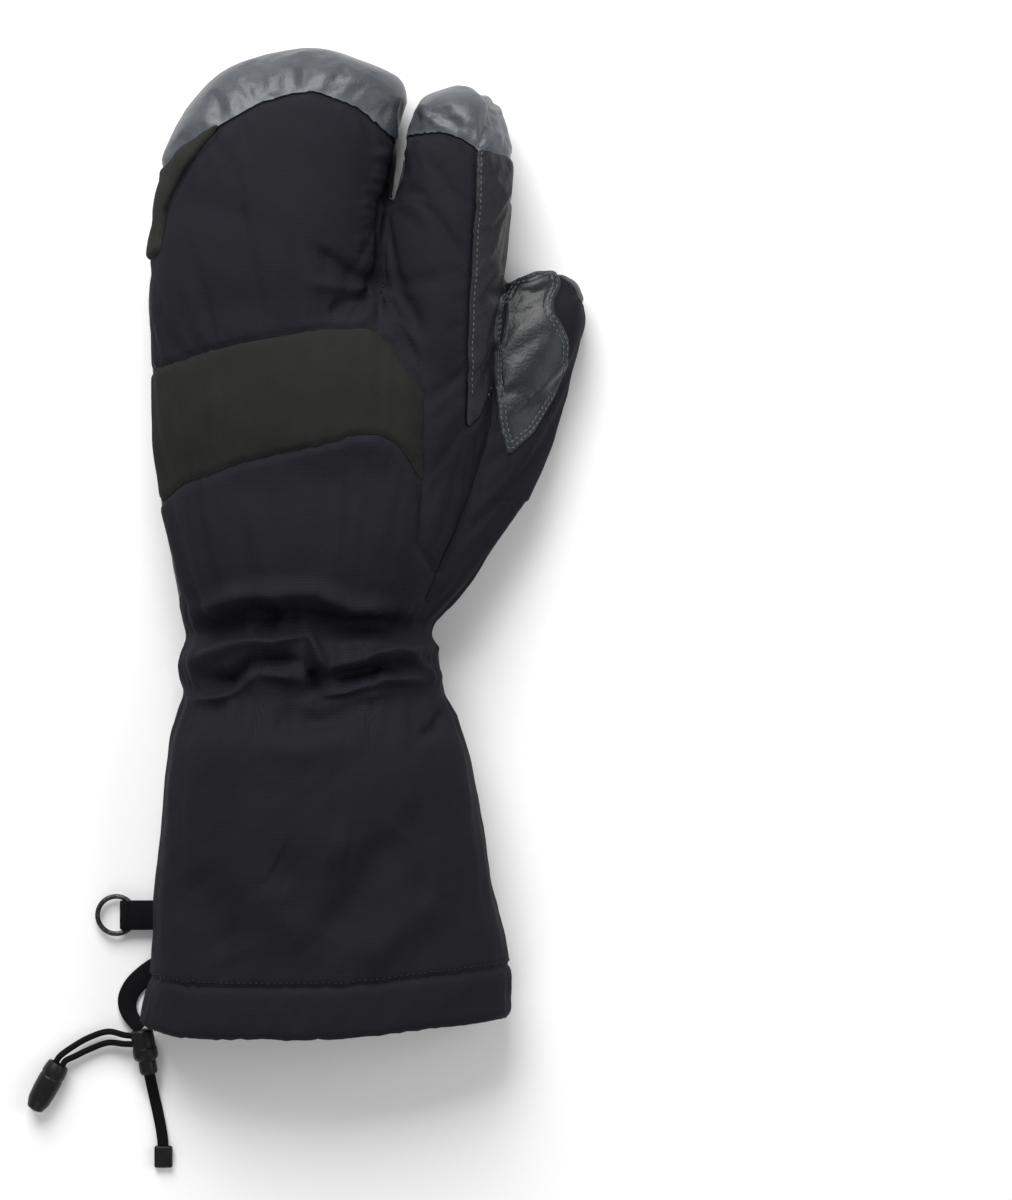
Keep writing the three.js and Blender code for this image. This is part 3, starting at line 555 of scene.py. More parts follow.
pull_tape = place_object(
    "pull_tape_weave",
    swept("pull_tape_weave", tape_route, strap_section(TAPE_WIDTH, TAPE_THICK)),
    black_webbing.material,
)
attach(pull_tape, "root")
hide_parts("pull_tape")
[tuple(point) for point in tape_route[::2]] + [tuple(tape_route[-1])]

# The webbing that carries the lock: a short woven tape sewn under the gauntlet's lower corner. It
# lies flat, curves round and rises to the lock's top. Each row: a pixel and the rise there.
LOCK_WEBBING_ROUTE = (
    (196, 966, 0), (168, 968, 0), (146, 977, 0), (130, 990, 0), (123, 1004, 0), (125, 1017, 0.8),
    (132, 1027, 2.2), (137.8, 1033.2, 3.3),
)
LOCK_WEBBING_WIDTHS = (12, 11, 9, 7.8, 7.2, 6.6, 5.6, 5.0)
WEBBING_THICK = 1.3 * MM


def flat_strap(name, middles, widths, thickness, lift, step=0.8 * MM):
    """A strap that lies flat, with its middle line and its width given along it."""
    line = route_points(middles, (0, 0, lift + thickness / 2), step)
    share = np.linspace(0, 1, len(line))
    width = np.interp(share, np.linspace(0, 1, len(widths)), widths)
    tangent = np.gradient(line, axis=0)
    tangent /= np.linalg.norm(tangent, axis=1)[:, None]
    side = np.cross(tangent, (0, 0, 1))
    section = np.array(strap_section(1, thickness / (width.mean() * MM)))
    rings = [
        point + s * w * MM * section[:, :1] + np.array((0, 0, 1)) * section[:, 1:] * width.mean() * MM
        for point, s, w in zip(line, side, width)
    ]
    return ringed_mesh(name, rings)


lock_webbing = place_object(
    "lock_webbing_weave",
    flat_strap(
        "lock_webbing_weave",
        [(*(v / MM for v in spot((x, y))), rise) for x, y, rise in LOCK_WEBBING_ROUTE],
        LOCK_WEBBING_WIDTHS,
        WEBBING_THICK,
        0.2 * MM,
    ),
    black_webbing.material,
)
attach(lock_webbing, "root")
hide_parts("lock_webbing")

# The ring: a small ring of dark coated wire, held flat in the fold of its webbing.
RING_MIDDLE = (-79.3 * MM, -123.7 * MM, 2.475 * MM)
RING_RADIUS = 6.6 * MM
WIRE = 1.75 * MM
ring_metal = Finish("ring_metal", Metallic=1.0, IOR=1.5)
rubbed = ring_metal.speckle(1.1 * MM, 4, 0.6)
ring_metal.feed(
    "Base Color", ring_metal.blend(rubbed.spread(0.45, 0.7), (0.03, 0.03, 0.033), (0.12, 0.12, 0.125))
)
ring_metal.feed("Roughness", rubbed.spread(0.3, 0.7, 0.36, 0.55))
ring_metal.feed("Normal", ring_metal.bump(ring_metal.speckle(0.3 * MM), 0.02 * MM))
RING_STEPS = 64
WIRE_SIDES = 16
ring_rings = []
for k in range(RING_STEPS):
    turn = 2 * math.pi * k / RING_STEPS
    out = np.array((math.cos(turn), math.sin(turn), 0))
    wire = [2 * math.pi * j / WIRE_SIDES for j in range(WIRE_SIDES)]
    ring_rings.append(
        [
            np.array(RING_MIDDLE)
            + out * (RING_RADIUS + WIRE / 2 * math.cos(a))
            + np.array((0, 0, WIRE / 2 * math.sin(a)))
            for a in wire
        ]
    )
ring_mesh = bmesh.new()
ring_points = [[ring_mesh.verts.new(point) for point in ring] for ring in ring_rings]
for first, second in zip(ring_points, ring_points[1:] + ring_points[:1]):
    for k in range(WIRE_SIDES):
        after = (k + 1) % WIRE_SIDES
        ring_mesh.faces.new((first[k], first[after], second[after], second[k]))
bmesh.ops.recalc_face_normals(ring_mesh, faces=ring_mesh.faces)
for face in ring_mesh.faces:
    face.smooth = True
ring_data = bpy.data.meshes.new("wire_ring")
ring_mesh.to_mesh(ring_data)
ring_mesh.free()
ring = place_object("wire_ring", ring_data, ring_metal.material)
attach(ring, "root")
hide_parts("ring")

# The ring's webbing: a tape folded over the ring's inner third, its plies sewn into the side.
RING_WEBBING_WIDTH = 10.4 * MM
FOLD_X = -75.6 * MM
loop_half = WIRE / 2 + 0.3 * MM + WEBBING_THICK / 2
ply_end = -50.5 * MM
side_view = [(ply_end, 0.68 * MM), (FOLD_X + 8 * MM, 0.8 * MM), (FOLD_X + 4.2 * MM, 0.9 * MM)]
FOLD_START = -65
FOLD_TURN = 230
FOLD_STEPS = 12
for k in range(FOLD_STEPS + 1):
    turn = math.radians(FOLD_START) - math.radians(FOLD_TURN) * k / FOLD_STEPS
    side_view.append((FOLD_X + loop_half * math.cos(turn), RING_MIDDLE[2] + loop_half * math.sin(turn)))
side_view += [(FOLD_X + 4.6 * MM, 4.1 * MM), (FOLD_X + 9 * MM, 3.8 * MM), (ply_end - 6 * MM, 5.2 * MM)]
side_line = route_points([(x / MM, 0, z / MM) for x, z in side_view], (0, 0, 0), 0.4 * MM)
side_slope = np.gradient(side_line, axis=0)
side_slope /= np.linalg.norm(side_slope, axis=1)[:, None]
ply_rings = []
for point, slope in zip(side_line, side_slope):
    out = np.array((-slope[2], 0, slope[0]))
    ply_rings.append(
        [
            point + np.array((0, RING_MIDDLE[1] + across, 0)) + out * rise
            for across, rise in strap_section(RING_WEBBING_WIDTH, WEBBING_THICK * 0.92)
        ]
    )
ring_webbing = place_object(
    "ring_webbing_weave", ringed_mesh("ring_webbing_weave", ply_rings), black_webbing.material
)
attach(ring_webbing, "root")
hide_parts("ring_webbing")

# The padded body: palm, claw pocket, index finger and thumb over soft insulation, then the wrist,
# the gauntlet and its hem. Its form comes from short tables of sections, as shares of the sizes.
PALM_LENGTH = 108.5
HAND = {"x": 0, "y": 153.3, "width": 120, "length": PALM_LENGTH, "height": 56, "floor": 1.5}
CLAW = {"x": -17.16, "y": 261.8, "width": 88, "length": 84, "height": 46, "floor": 1.5}
INDEX = {"x": 43.44, "y": 261.8, "width": 44.8, "length": 72, "height": 42, "floor": 1.5}
WRIST = {"x": 0, "y": 118.3, "width": 131, "length": 35, "height": 54, "floor": 0}
GAUNTLET = {"x": 0, "y": 19.3, "width": 131, "length": 99, "height": 54, "floor": 0}
HEM = {"x": 0, "y": 0, "width": 131, "length": 19.3, "height": 54, "floor": 0}
THUMB = {"x": 21, "y": 148.96, "width": 57.4, "length": 119.7, "height": 34, "floor": 0}
THUMB_ACROSS = 35
# Each row: how far along, the left and the right edge, the lowest and the highest point.
SECTIONS = {
    "hand": (
        (0, -0.429, 0.356, 0, 0.893), (0.081, -0.449, 0.385, -0.036, 0.946),
        (0.226, -0.47, 0.435, -0.054, 0.973), (0.394, -0.487, 0.475, -0.054, 0.938),
        (0.516, -0.499, 0.496, -0.054, 0.991), (0.677, -0.502, 0.507, -0.054, 0.973),
        (0.819, -0.507, 0.513, -0.036, 0.884), (0.91, -0.487, 0.499, 0, 0.821),
        (0.958, -0.435, 0.464, 0.089, 0.679), (0.987, -0.35, 0.394, 0.214, 0.518),
    ),
    "claw": (
        (-0.458, -0.441, 0.374, 0.065, 1), (-0.208, -0.489, 0.402, 0, 1.065),
        (-0.042, -0.509, 0.414, -0.043, 1.087), (0.187, -0.501, 0.43, -0.043, 1.076),
        (0.375, -0.477, 0.457, -0.043, 1.033), (0.521, -0.457, 0.477, -0.043, 0.978),
        (0.646, -0.414, 0.497, -0.022, 0.924), (0.758, -0.354, 0.513, 0, 0.859),
        (0.833, -0.298, 0.517, 0.022, 0.793), (0.892, -0.235, 0.485, 0.065, 0.728),
        (0.933, -0.171, 0.426, 0.109, 0.663), (0.971, -0.08, 0.322, 0.196, 0.565),
        (1, 0.056, 0.223, 0.283, 0.435),
    ),
    "index": (
        (-0.631, -0.305, 0.227, 0.381, 1.048), (-0.291, -0.453, 0.398, 0.238, 1.143),
        (-0.049, -0.484, 0.422, 0.19, 1.143), (0.194, -0.484, 0.469, 0.155, 1.119),
        (0.437, -0.426, 0.496, 0.119, 1.071), (0.631, -0.367, 0.488, 0.083, 1.012),
        (0.777, -0.32, 0.477, 0.06, 0.952), (0.874, -0.281, 0.438, 0.048, 0.893),
        (0.937, -0.211, 0.375, 0.071, 0.81), (0.976, -0.117, 0.289, 0.143, 0.69),
        (1, -0.008, 0.18, 0.262, 0.548),
    ),
    "wrist": (
        (-0.02, -0.376, 0.335, 0.04, 0.82), (0.2, -0.39, 0.313, 0.019, 0.907),
        (0.35, -0.398, 0.313, 0, 0.963), (0.5, -0.389, 0.31, 0.009, 0.944),
        (0.64, -0.377, 0.302, 0.037, 0.852), (0.8, -0.386, 0.305, 0.009, 0.944),
        (1.06, -0.393, 0.326, 0, 0.926),
    ),
    "gauntlet": (
        (-0.02, -0.473, 0.502, -0.028, 0.833), (0.293, -0.461, 0.454, -0.037, 0.889),
        (0.505, -0.446, 0.427, -0.037, 0.926), (0.7, -0.43, 0.406, -0.037, 0.944),
        (0.936, -0.403, 0.363, 0, 0.907), (1.01, -0.376, 0.335, 0.04, 0.82),
    ),
    "hem": (
        (-0.25, -0.467, 0.486, 0.022, 0.752), (0, -0.47, 0.489, 0.019, 0.759),
        (0.091, -0.481, 0.5, 0, 0.796), (0.4, -0.486, 0.508, -0.014, 0.82),
        (1.05, -0.473, 0.502, -0.019, 0.833),
    ),
}
# The thumb's axis leans out. Each row: how far out and along, half the width, lowest and highest.
THUMB_SECTIONS = (
    (0, 0, 0.44, 0.059, 1.118), (0.244, 0.114, 0.48, 0, 1.088), (0.457, 0.26, 0.5, -0.029, 1.029),
    (0.622, 0.409, 0.51, -0.029, 0.971), (0.75, 0.558, 0.5, -0.029, 0.912),
    (0.848, 0.702, 0.485, -0.029, 0.853), (0.915, 0.819, 0.475, -0.029, 0.809),
    (0.951, 0.895, 0.42, 0, 0.765), (0.976, 0.947, 0.34, 0.059, 0.706),
    (0.988, 0.98, 0.24, 0.132, 0.632), (1, 1, 0.11, 0.235, 0.529),
)
ROUNDNESS = 2.5
HAND_WIDEST = 0.38
CUFF_WIDEST = 0.3
SIDES = 88
ROW_STEP = 0.0025
GATHER_DEPTH = 1.6
SKIN_VOXEL = 2.1 * MM


def smooth_rows(table, key, step):
    """A short table made long: a smooth run of rows through the given ones."""
    table = np.array(table, float)
    gaps = np.maximum(np.diff(table[:, key]), 1e-3) ** 0.6
    knots = np.concatenate([[0], np.cumsum(gaps)])
    slopes = np.gradient(table, knots, axis=0)
    at = np.linspace(0, knots[-1], max(int((table[-1, key] - table[0, key]) / step), 12))
    piece = np.clip(np.searchsorted(knots, at, side="right") - 1, 0, len(table) - 2)
    width = (knots[piece + 1] - knots[piece])[:, None]
    t = (at - knots[piece])[:, None] / width
    return (
        (2 * t**3 - 3 * t**2 + 1) * table[piece]
        + (t**3 - 2 * t**2 + t) * width * slopes[piece]
        + (3 * t**2 - 2 * t**3) * table[piece + 1]
        + (t**3 - t**2) * width * slopes[piece + 1]
    )


def section_ring(middle, across, half, low, high, widest, floor, swell=None):
    """One ring of a padded section that lies on the table: widest low down and flat underneath."""
    turn = np.arange(SIDES) * 2 * math.pi / SIDES
    extra = swell(turn) if swell else 0
    c, s = np.cos(turn), np.sin(turn)
    belly = low + widest * (high - low)
    side = np.sign(c) * np.abs(c) ** (2 / ROUNDNESS) * (half + extra)
    reach = np.where(s > 0, high - belly, belly - low)
    z = belly + np.sign(s) * np.abs(s) ** (2 / ROUNDNESS) * (reach + extra)
    return np.stack(
        [middle[0] + across[0] * side, middle[1] + across[1] * side, np.maximum(z, floor)], axis=1
    )


def gathers(strength):
    """The folds that the elastic draws round the wrist, as in the model, with finer ones between."""

    def at(along):
        def swell(turn):
            coarse = 0.6 * np.cos(11 * turn + 1.3) + 0.4 * np.cos(5 * turn + 0.4)
            fine = 0.35 * np.cos(19 * turn + 2.1 + 3 * along)
            return GATHER_DEPTH * strength(along) * (coarse + fine)

        return swell

    return at


# There is daylight between the pocket and the index finger. The net can't hold so thin a gap, so
# the gap is cut wider here and closed up again once the skin is made.
GAP_ROWS = (94, 116, 138, 160, 184, 206)
GAP_MIDDLES = (416, 407, 402, 399, 395, 392)
GAP_HALVES = (9, 4.5, 3, 3, 1.6, 0)
GAP_ROOM = 2.6


def gap_share(y):
    """From 0 below the gap's point to 1 where it is wide."""
    start, end = spot((0, GAP_ROWS[-1] + 4))[1], spot((0, GAP_ROWS[-2]))[1]
    t = np.clip((y - start) / (end - start), 0, 1)
    return t * t * (3 - 2 * t)


def straight_tube(form, table, widest, folds=None, room=(0, 0)):
    rings = []
    for along, left, right, low, high in smooth_rows(table, 0, ROW_STEP * 1000 / form["length"]):
        y = (form["y"] + along * form["length"]) * MM + HEM_MIDDLE[1]
        left += room[0] * gap_share(y) / form["width"]
        right -= room[1] * gap_share(y) / form["width"]
        half = max((right - left) / 2 * form["width"], 0.6)
        middle = (
            form["x"] + (left + right) / 2 * form["width"],
            form["y"] + along * form["length"],
        )
        low, high = low * form["height"], high * form["height"]
        swell = folds(along) if folds else None
        rings.append(
            section_ring(middle, (-1, 0), half, low, high, widest, form["floor"], swell)
        )
    return rings


def leaning_tube(form, table):
    rows = smooth_rows(table, 1, ROW_STEP * 1000 / form["length"])
    middles = np.stack(
        [form["x"] + rows[:, 0] * form["width"], form["y"] + rows[:, 1] * form["length"]], axis=1
    )
    slope = np.gradient(middles, axis=0)
    slope /= np.linalg.norm(slope, axis=1)[:, None]
    return [
        section_ring(
            middle,
            (-along[1], along[0]),
            max(row[2] * THUMB_ACROSS, 0.6),
            row[3] * form["height"],
            row[4] * form["height"],
            HAND_WIDEST,
            form["floor"],
        )
        for middle, along, row in zip(middles, slope, rows)
    ]


TUBES = [
    straight_tube(HAND, SECTIONS["hand"], HAND_WIDEST),
    straight_tube(CLAW, SECTIONS["claw"], HAND_WIDEST, room=(0, GAP_ROOM)),
    straight_tube(INDEX, SECTIONS["index"], HAND_WIDEST, room=(GAP_ROOM, 0)),
    leaning_tube(THUMB, THUMB_SECTIONS),
    straight_tube(WRIST, SECTIONS["wrist"], CUFF_WIDEST, gathers(lambda v: 1)),
    straight_tube(GAUNTLET, SECTIONS["gauntlet"], CUFF_WIDEST, gathers(lambda v: 0.1 + 0.9 * max(v, 0) ** 5)),
    straight_tube(HEM, SECTIONS["hem"], CUFF_WIDEST, gathers(lambda v: 0.1)),
]


def joined_skin(tubes, voxel):
    """One closed skin round several tubes, as an even net of small squares."""
    made = bmesh.new()
    for rings in tubes:
        shift = np.array((HEM_MIDDLE[0], HEM_MIDDLE[1], 0))
        points = [[made.verts.new(point * MM + shift) for point in ring] for ring in rings]
        faces = [made.faces.new(points[0]), made.faces.new(points[-1])]
        for first, second in zip(points, points[1:]):
            for k in range(SIDES):
                after = (k + 1) % SIDES
                faces.append(made.faces.new((first[k], first[after], second[after], second[k])))
        bmesh.ops.recalc_face_normals(made, faces=faces)
    mesh = bpy.data.meshes.new("skin")
    made.to_mesh(mesh)
    made.free()
    skin = bpy.data.objects.new("skin", mesh)
    bpy.context.collection.objects.link(skin)
    remesh = skin.modifiers.new("net", "REMESH")
    remesh.mode, remesh.voxel_size = "VOXEL", voxel
    net = bpy.data.meshes.new_from_object(
        skin.evaluated_get(bpy.context.evaluated_depsgraph_get())
    )
    skin.modifiers.clear()
    skin.data = net
    return skin


def points_of(mesh):
    points = np.zeros(len(mesh.vertices) * 3, np.float32)
    mesh.vertices.foreach_get("co", points)
    return points.reshape(-1, 3).astype(float)


def edges_of(mesh):
    edges = np.zeros(len(mesh.edges) * 2, np.int32)
    mesh.edges.foreach_get("vertices", edges)
    return edges.reshape(-1, 2)


def averager(edges, count):
    """A function that gives each point the mean of its neighbours' values."""
    here = np.concatenate([edges[:, 0], edges[:, 1]])
    there = np.concatenate([edges[:, 1], edges[:, 0]])
    degree = np.maximum(np.bincount(here, minlength=count), 1)

    def average(values):
        columns = [
            np.bincount(here, values[there, k], minlength=count) for k in range(values.shape[1])
        ]
        return np.stack(columns, axis=1) / degree[:, None]

    return average


skin = joined_skin(TUBES, SKIN_VOXEL)
formed = points_of(skin.data)
neighbours = averager(edges_of(skin.data), len(formed))
for _ in range(3):
    formed = 0.5 * formed + 0.5 * neighbours(formed)
below_wrist = np.clip((spot((0, 700))[1] - formed[:, 1:2]) / (10 * MM), 0, 1)
for _ in range(8):
    formed += 0.5 * below_wrist * (neighbours(formed) - formed)
skin.data.vertices.foreach_set("co", formed.astype(np.float32).ravel())
skin.data.update()
rest_place = skin.data.attributes.new("rest_place", "FLOAT_VECTOR", "POINT")
rest_place.data.foreach_set("vector", formed.astype(np.float32).ravel())

# The panels' sewing lines are where the model's solids part. A point belongs to the solid that it
# lies nearest, and the borders are rounded by letting each point share with its neighbours.
BODY_NODES = (
    "claw_cap", "index_cap", "back_panel", "index_back", "index_side", "knuckle_band", "lower_back",
    "palm", "index_palm", "palm_gusset", "thumb_gusset", "thumb_body", "wrist_cuff", "gauntlet", "hem",
)
MOUTH = len(BODY_NODES)
HEM_EDGE = HEM_MIDDLE[1] + 0.3 * MM
SEARCH = 14 * MM


def node_tree(node):
    """A search tree over a CAD node's faces."""
    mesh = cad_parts[node].data
    mesh.calc_loop_triangles()
    return BVHTree.FromPolygons(
        [v.co[:] for v in mesh.vertices], [t.vertices[:] for t in mesh.loop_triangles]
    )


def distances_to(tree, points, search=SEARCH):
    """Each point's distance to a tree's surface, up to a limit."""
    found = np.full(len(points), search)
    for k, point in enumerate(points):
        distance = tree.find_nearest(point, search)[3]
        if distance is not None:
            found[k] = distance
    return found


panel_trees = {node: node_tree(node) for node in BODY_NODES}


def panel_shares(points):
    """How much each point belongs to each panel and, last, to the open mouth."""
    distance = np.full((len(points), MOUTH + 1), SEARCH)
    for k, node in enumerate(BODY_NODES):
        low, high = (np.array(corner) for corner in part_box(node))
        near = np.all((points > low - SEARCH) & (points < high + SEARCH), axis=1)
        distance[near, k] = distances_to(panel_trees[node], points[near])
    distance[:, MOUTH] = np.clip(points[:, 1] - HEM_EDGE, 0, SEARCH)
    below = points[:, 1] < HEM_EDGE
    distance[below, MOUTH] = -(HEM_EDGE - points[below, 1])
    shares = np.exp(-(distance - distance.min(axis=1)[:, None]) / (0.9 * MM))
    return shares / shares.sum(axis=1)[:, None]


# The stuffing: pressure swells the skin while the seams and the wrist's elastic draw in, so folds
# run out from them. Soft springs hold the form, no point moves further than a few millimetres, and
# most of the broad swelling is taken back, so that the outline stays as it was sewn.
ELASTIC_LINES = (-24.9 * MM, -44.8 * MM)
LEAST_MOVE = 7 * MM
CLOTH_FRAMES = 22
BROAD_ROUNDS = 90
BROAD_UNDONE = 0.85


# How much of the folding each panel keeps: stiff softshell and the long gauntlet stay smooth.
LIVELY = {
    "claw_cap": 0.75,
    "index_cap": 0.8,
    "back_panel": 0.55,
    "index_back": 0.6,
    "index_side": 0.8,
    "knuckle_band": 0.28,
    "lower_back": 0.35,
    "palm": 0.5,
    "index_palm": 0.6,
    "palm_gusset": 0.5,
    "thumb_gusset": 0.5,
    "thumb_body": 0.6,
    "wrist_cuff": 1.0,
    "gauntlet": 0.16,
    "hem": 0.4,
}


def stuffed(skin, shares):
    points = points_of(skin.data)
    top_two = np.sort(shares[:, :MOUTH], axis=1)[:, -2:]
    seam = np.exp(-(((top_two[:, 1] - top_two[:, 0]) / 0.6) ** 2))
    seam[points[:, 1] < spot((0, 705))[1]] = 0
    shrink = 0.55 * seam
    for line in ELASTIC_LINES:
        shrink = np.maximum(shrink, np.exp(-(((points[:, 1] - line) / (3.2 * MM)) ** 2)))
    hem_seam = np.exp(-(((points[:, 1] - spot((0, 983))[1]) / (2.5 * MM)) ** 2))
    shrink = np.maximum(shrink, 0.35 * hem_seam)
    hold = np.full(len(points), 0.1)
    hold[points[:, 2] < 2.6 * MM] = 0.9
    hold[points[:, 1] < HEM_EDGE + 3 * MM] = 0.8
    for name, weights in (("shrink", shrink), ("hold", hold)):
        group = skin.vertex_groups.new(name=name)
        for k in range(len(points)):
            group.add([k], float(weights[k]), "REPLACE")
    cloth = skin.modifiers.new("stuffing", "CLOTH")
    settings = cloth.settings
    settings.quality = 5
    settings.mass = 0.2
    settings.tension_stiffness = 18
    settings.compression_stiffness = 18
    settings.shear_stiffness = 6
    settings.bending_stiffness = 0.35
    settings.tension_damping = 12
    settings.compression_damping = 12
    settings.air_damping = 2
    settings.use_pressure = True
    settings.uniform_pressure_force = 2.2
    settings.vertex_group_shrink = "shrink"
    settings.shrink_min = 0
    settings.shrink_max = 0.42
    settings.vertex_group_mass = "hold"
    settings.pin_stiffness = 1.0
    settings.effector_weights.gravity = 0
    cloth.collision_settings.use_collision = False
    cloth.point_cache.frame_start = 1
    cloth.point_cache.frame_end = CLOTH_FRAMES
    for step in range(1, CLOTH_FRAMES + 1):
        bpy.context.scene.frame_set(step)
    swollen = bpy.data.meshes.new_from_object(
        skin.evaluated_get(bpy.context.evaluated_depsgraph_get())
    )
    moved = points_of(swollen)
    bpy.data.meshes.remove(swollen)
    skin.modifiers.clear()
    bpy.context.scene.frame_set(1)
    step = moved - points
    broad = step
    for _ in range(BROAD_ROUNDS):
        broad = 0.5 * broad + 0.5 * neighbours(broad)
    step = step - BROAD_UNDONE * broad
    near_elastic = np.exp(-(((points[:, 1:2] - ELASTIC_LINES[0]) / (6 * MM)) ** 2))
    for _ in range(3):
        step += 0.5 * near_elastic * (neighbours(step) - step)
    lively = shares @ np.array([*LIVELY.values(), 0.3])
    for _ in range(15):
        lively = 0.5 * lively + 0.5 * neighbours(lively[:, None])[:, 0]
    wrist_near = np.exp(-(((points[:, 1] - ELASTIC_LINES[1]) / (14 * MM)) ** 2))
    lively = np.maximum(lively, 0.85 * wrist_near)
    step = step * lively[:, None]
    size = np.linalg.norm(step, axis=1)
    kept = LEAST_MOVE * np.tanh(size / LEAST_MOVE) / np.maximum(size, 1e-9)
    return points + step * kept[:, None]


skin_shares = panel_shares(formed)
stuffed_points = stuffed(skin, skin_shares)
skin.data.vertices.foreach_set("co", stuffed_points.astype(np.float32).ravel())
skin.data.update()
finer = skin.modifiers.new("finer", "SUBSURF")
finer.levels = finer.render_levels = 1
fine_mesh = bpy.data.meshes.new_from_object(
    skin.evaluated_get(bpy.context.evaluated_depsgraph_get())
)
body_points = points_of(fine_mesh)
rest_points = np.zeros(len(body_points) * 3, np.float32)
fine_mesh.attributes["rest_place"].data.foreach_get("vector", rest_points)
rest_points = rest_points.reshape(-1, 3).astype(float)
fine_edges = edges_of(fine_mesh)
quads = np.zeros(len(fine_mesh.loops), np.int32)
fine_mesh.loops.foreach_get("vertex_index", quads)
quads = quads.reshape(-1, 4)
bpy.data.objects.remove(skin)

# The hem's tab is let into its underside.
TAB_LOW = (-7.7 * MM, -164.571 * MM, 0)
TAB_HIGH = (24.3 * MM, -146.571 * MM, 1.5 * MM)

# Sewing the panels. Points next to a border move onto it, so that each panel ends in a clean line.
SHARE_ROUNDS = 9


def triangles_of(points, quads):
    """Two triangles for each square, cut along its shorter diagonal."""
    a, b, c, d = quads.T
    first = np.linalg.norm(points[a] - points[c], axis=1)
    second = np.linalg.norm(points[b] - points[d], axis=1)
    short = (first <= second)[:, None]
    one = np.where(short, quads[:, [0, 1, 2]], quads[:, [0, 1, 3]])
    two = np.where(short, quads[:, [0, 2, 3]], quads[:, [1, 2, 3]])
    return np.concatenate([one, two])


def edges_between(triangles):
    pairs = np.concatenate([triangles[:, [0, 1]], triangles[:, [1, 2]], triangles[:, [2, 0]]])
    return np.unique(np.sort(pairs, axis=1), axis=0)


def normals_of(points, triangles):
    a, b, c = (points[triangles[:, k]] for k in range(3))
    flat = np.cross(b - a, c - a)
    total = np.zeros_like(points)
    for k in range(3):
        for axis in range(3):
            total[:, axis] += np.bincount(triangles[:, k], flat[:, axis], len(points))
    return total / np.maximum(np.linalg.norm(total, axis=1)[:, None], 1e-12)


def cut_by_shares(shares, triangles, *fields):
    """Moves points onto the borders between shares, in every field, and names each triangle's owner."""
    edges = edges_between(triangles)
    owner = shares.argmax(axis=1)
    crossing = edges[owner[edges[:, 0]] != owner[edges[:, 1]]]
    u, v = crossing.T
    lead_u = shares[u, owner[u]] - shares[u, owner[v]]
    lead_v = shares[v, owner[v]] - shares[v, owner[u]]
    way = lead_u / np.maximum(lead_u + lead_v, 1e-9)
    moved = np.where(way < 0.5, u, v)
    count = np.bincount(moved, minlength=len(owner))
    on_border = count > 0
    for field in fields:
        target = field[u] + way[:, None] * (field[v] - field[u])
        for axis in range(field.shape[1]):
            total = np.bincount(moved, target[:, axis], len(owner))
            field[on_border, axis] = total[on_border] / count[on_border]
    free = ~on_border[triangles]
    first_free = free.argmax(axis=1)
    by_point = owner[triangles[np.arange(len(triangles)), first_free]]
    by_middle = shares[triangles].sum(axis=1).argmax(axis=1)
    return np.where(free.any(axis=1), by_point, by_middle)


def border_edges(triangles):
    """The edges that only one triangle uses, in its own direction."""
    pairs = np.concatenate([triangles[:, [0, 1]], triangles[:, [1, 2]], triangles[:, [2, 0]]])
    both = np.sort(pairs, axis=1)
    key = both[:, 0].astype(np.int64) * (pairs.max() + 1) + both[:, 1]
    _, first, count = np.unique(key, return_index=True, return_counts=True)
    return pairs[first[count == 1]]


def outside_outline(points, pixels):
    """Each point's distance outside an outline drawn on the ground."""
    corners = np.array([spot(pixel) for pixel in pixels])
    nearest = np.full(len(points), 1.0)
    crossings = np.zeros(len(points), int)
    x, y = points[:, 0], points[:, 1]
    for start, end in zip(corners, np.roll(corners, -1, axis=0)):
        way = end - start
        t = np.clip(((points[:, :2] - start) @ way) / (way @ way), 0, 1)
        nearest = np.minimum(nearest, np.linalg.norm(points[:, :2] - start - t[:, None] * way, axis=1))
        if start[1] != end[1]:
            across = start[0] + (y - start[1]) / (end[1] - start[1]) * (end[0] - start[0])
            crossings += ((start[1] > y) != (end[1] > y)) & (x < across)
    return np.where(crossings % 2 == 1, -nearest, nearest)


# On the palm's side the thumb's inner half and its tip are leather. Pixels round that part.
THUMB_LEATHER = (
    (407, 580), (465, 447), (485, 387), (505, 332), (538, 299), (568, 293), (592, 317),
    (600, 240), (480, 240), (440, 400), (380, 580),
)
LEATHER_TOP = 17 * MM
# The index finger's side strip ends on a slant. Pixels round what lies beyond that end.
STRIP_END = ((470, 442), (497, 386), (535, 386), (535, 490), (470, 490))

body_triangles = triangles_of(body_points, quads)
body_edges = edges_between(body_triangles)
body_neighbours = averager(body_edges, len(body_points))
shares = panel_shares(rest_points)
palm, thumb = BODY_NODES.index("palm"), BODY_NODES.index("thumb_body")
low_down = 1 / (1 + np.exp((rest_points[:, 2] - LEATHER_TOP) / (0.6 * MM)))
shares[:, palm] *= low_down
inner_half = low_down / (1 + np.exp(outside_outline(rest_points, THUMB_LEATHER) / (0.5 * MM)))
shares = np.column_stack([shares, shares[:, thumb] * inner_half])
shares[:, thumb] *= 1 - inner_half
THUMB_PALM = MOUTH + 1
side, index_back = BODY_NODES.index("index_side"), BODY_NODES.index("index_back")
beyond = (1 - low_down) / (1 + np.exp(outside_outline(rest_points, STRIP_END) / (0.5 * MM)))
shares[:, index_back] += shares[:, side] * beyond
shares[:, side] *= 1 - beyond
for _ in range(SHARE_ROUNDS):
    shares = 0.5 * shares + 0.5 * body_neighbours(shares)
owner = cut_by_shares(shares, body_triangles, body_points, rest_points)

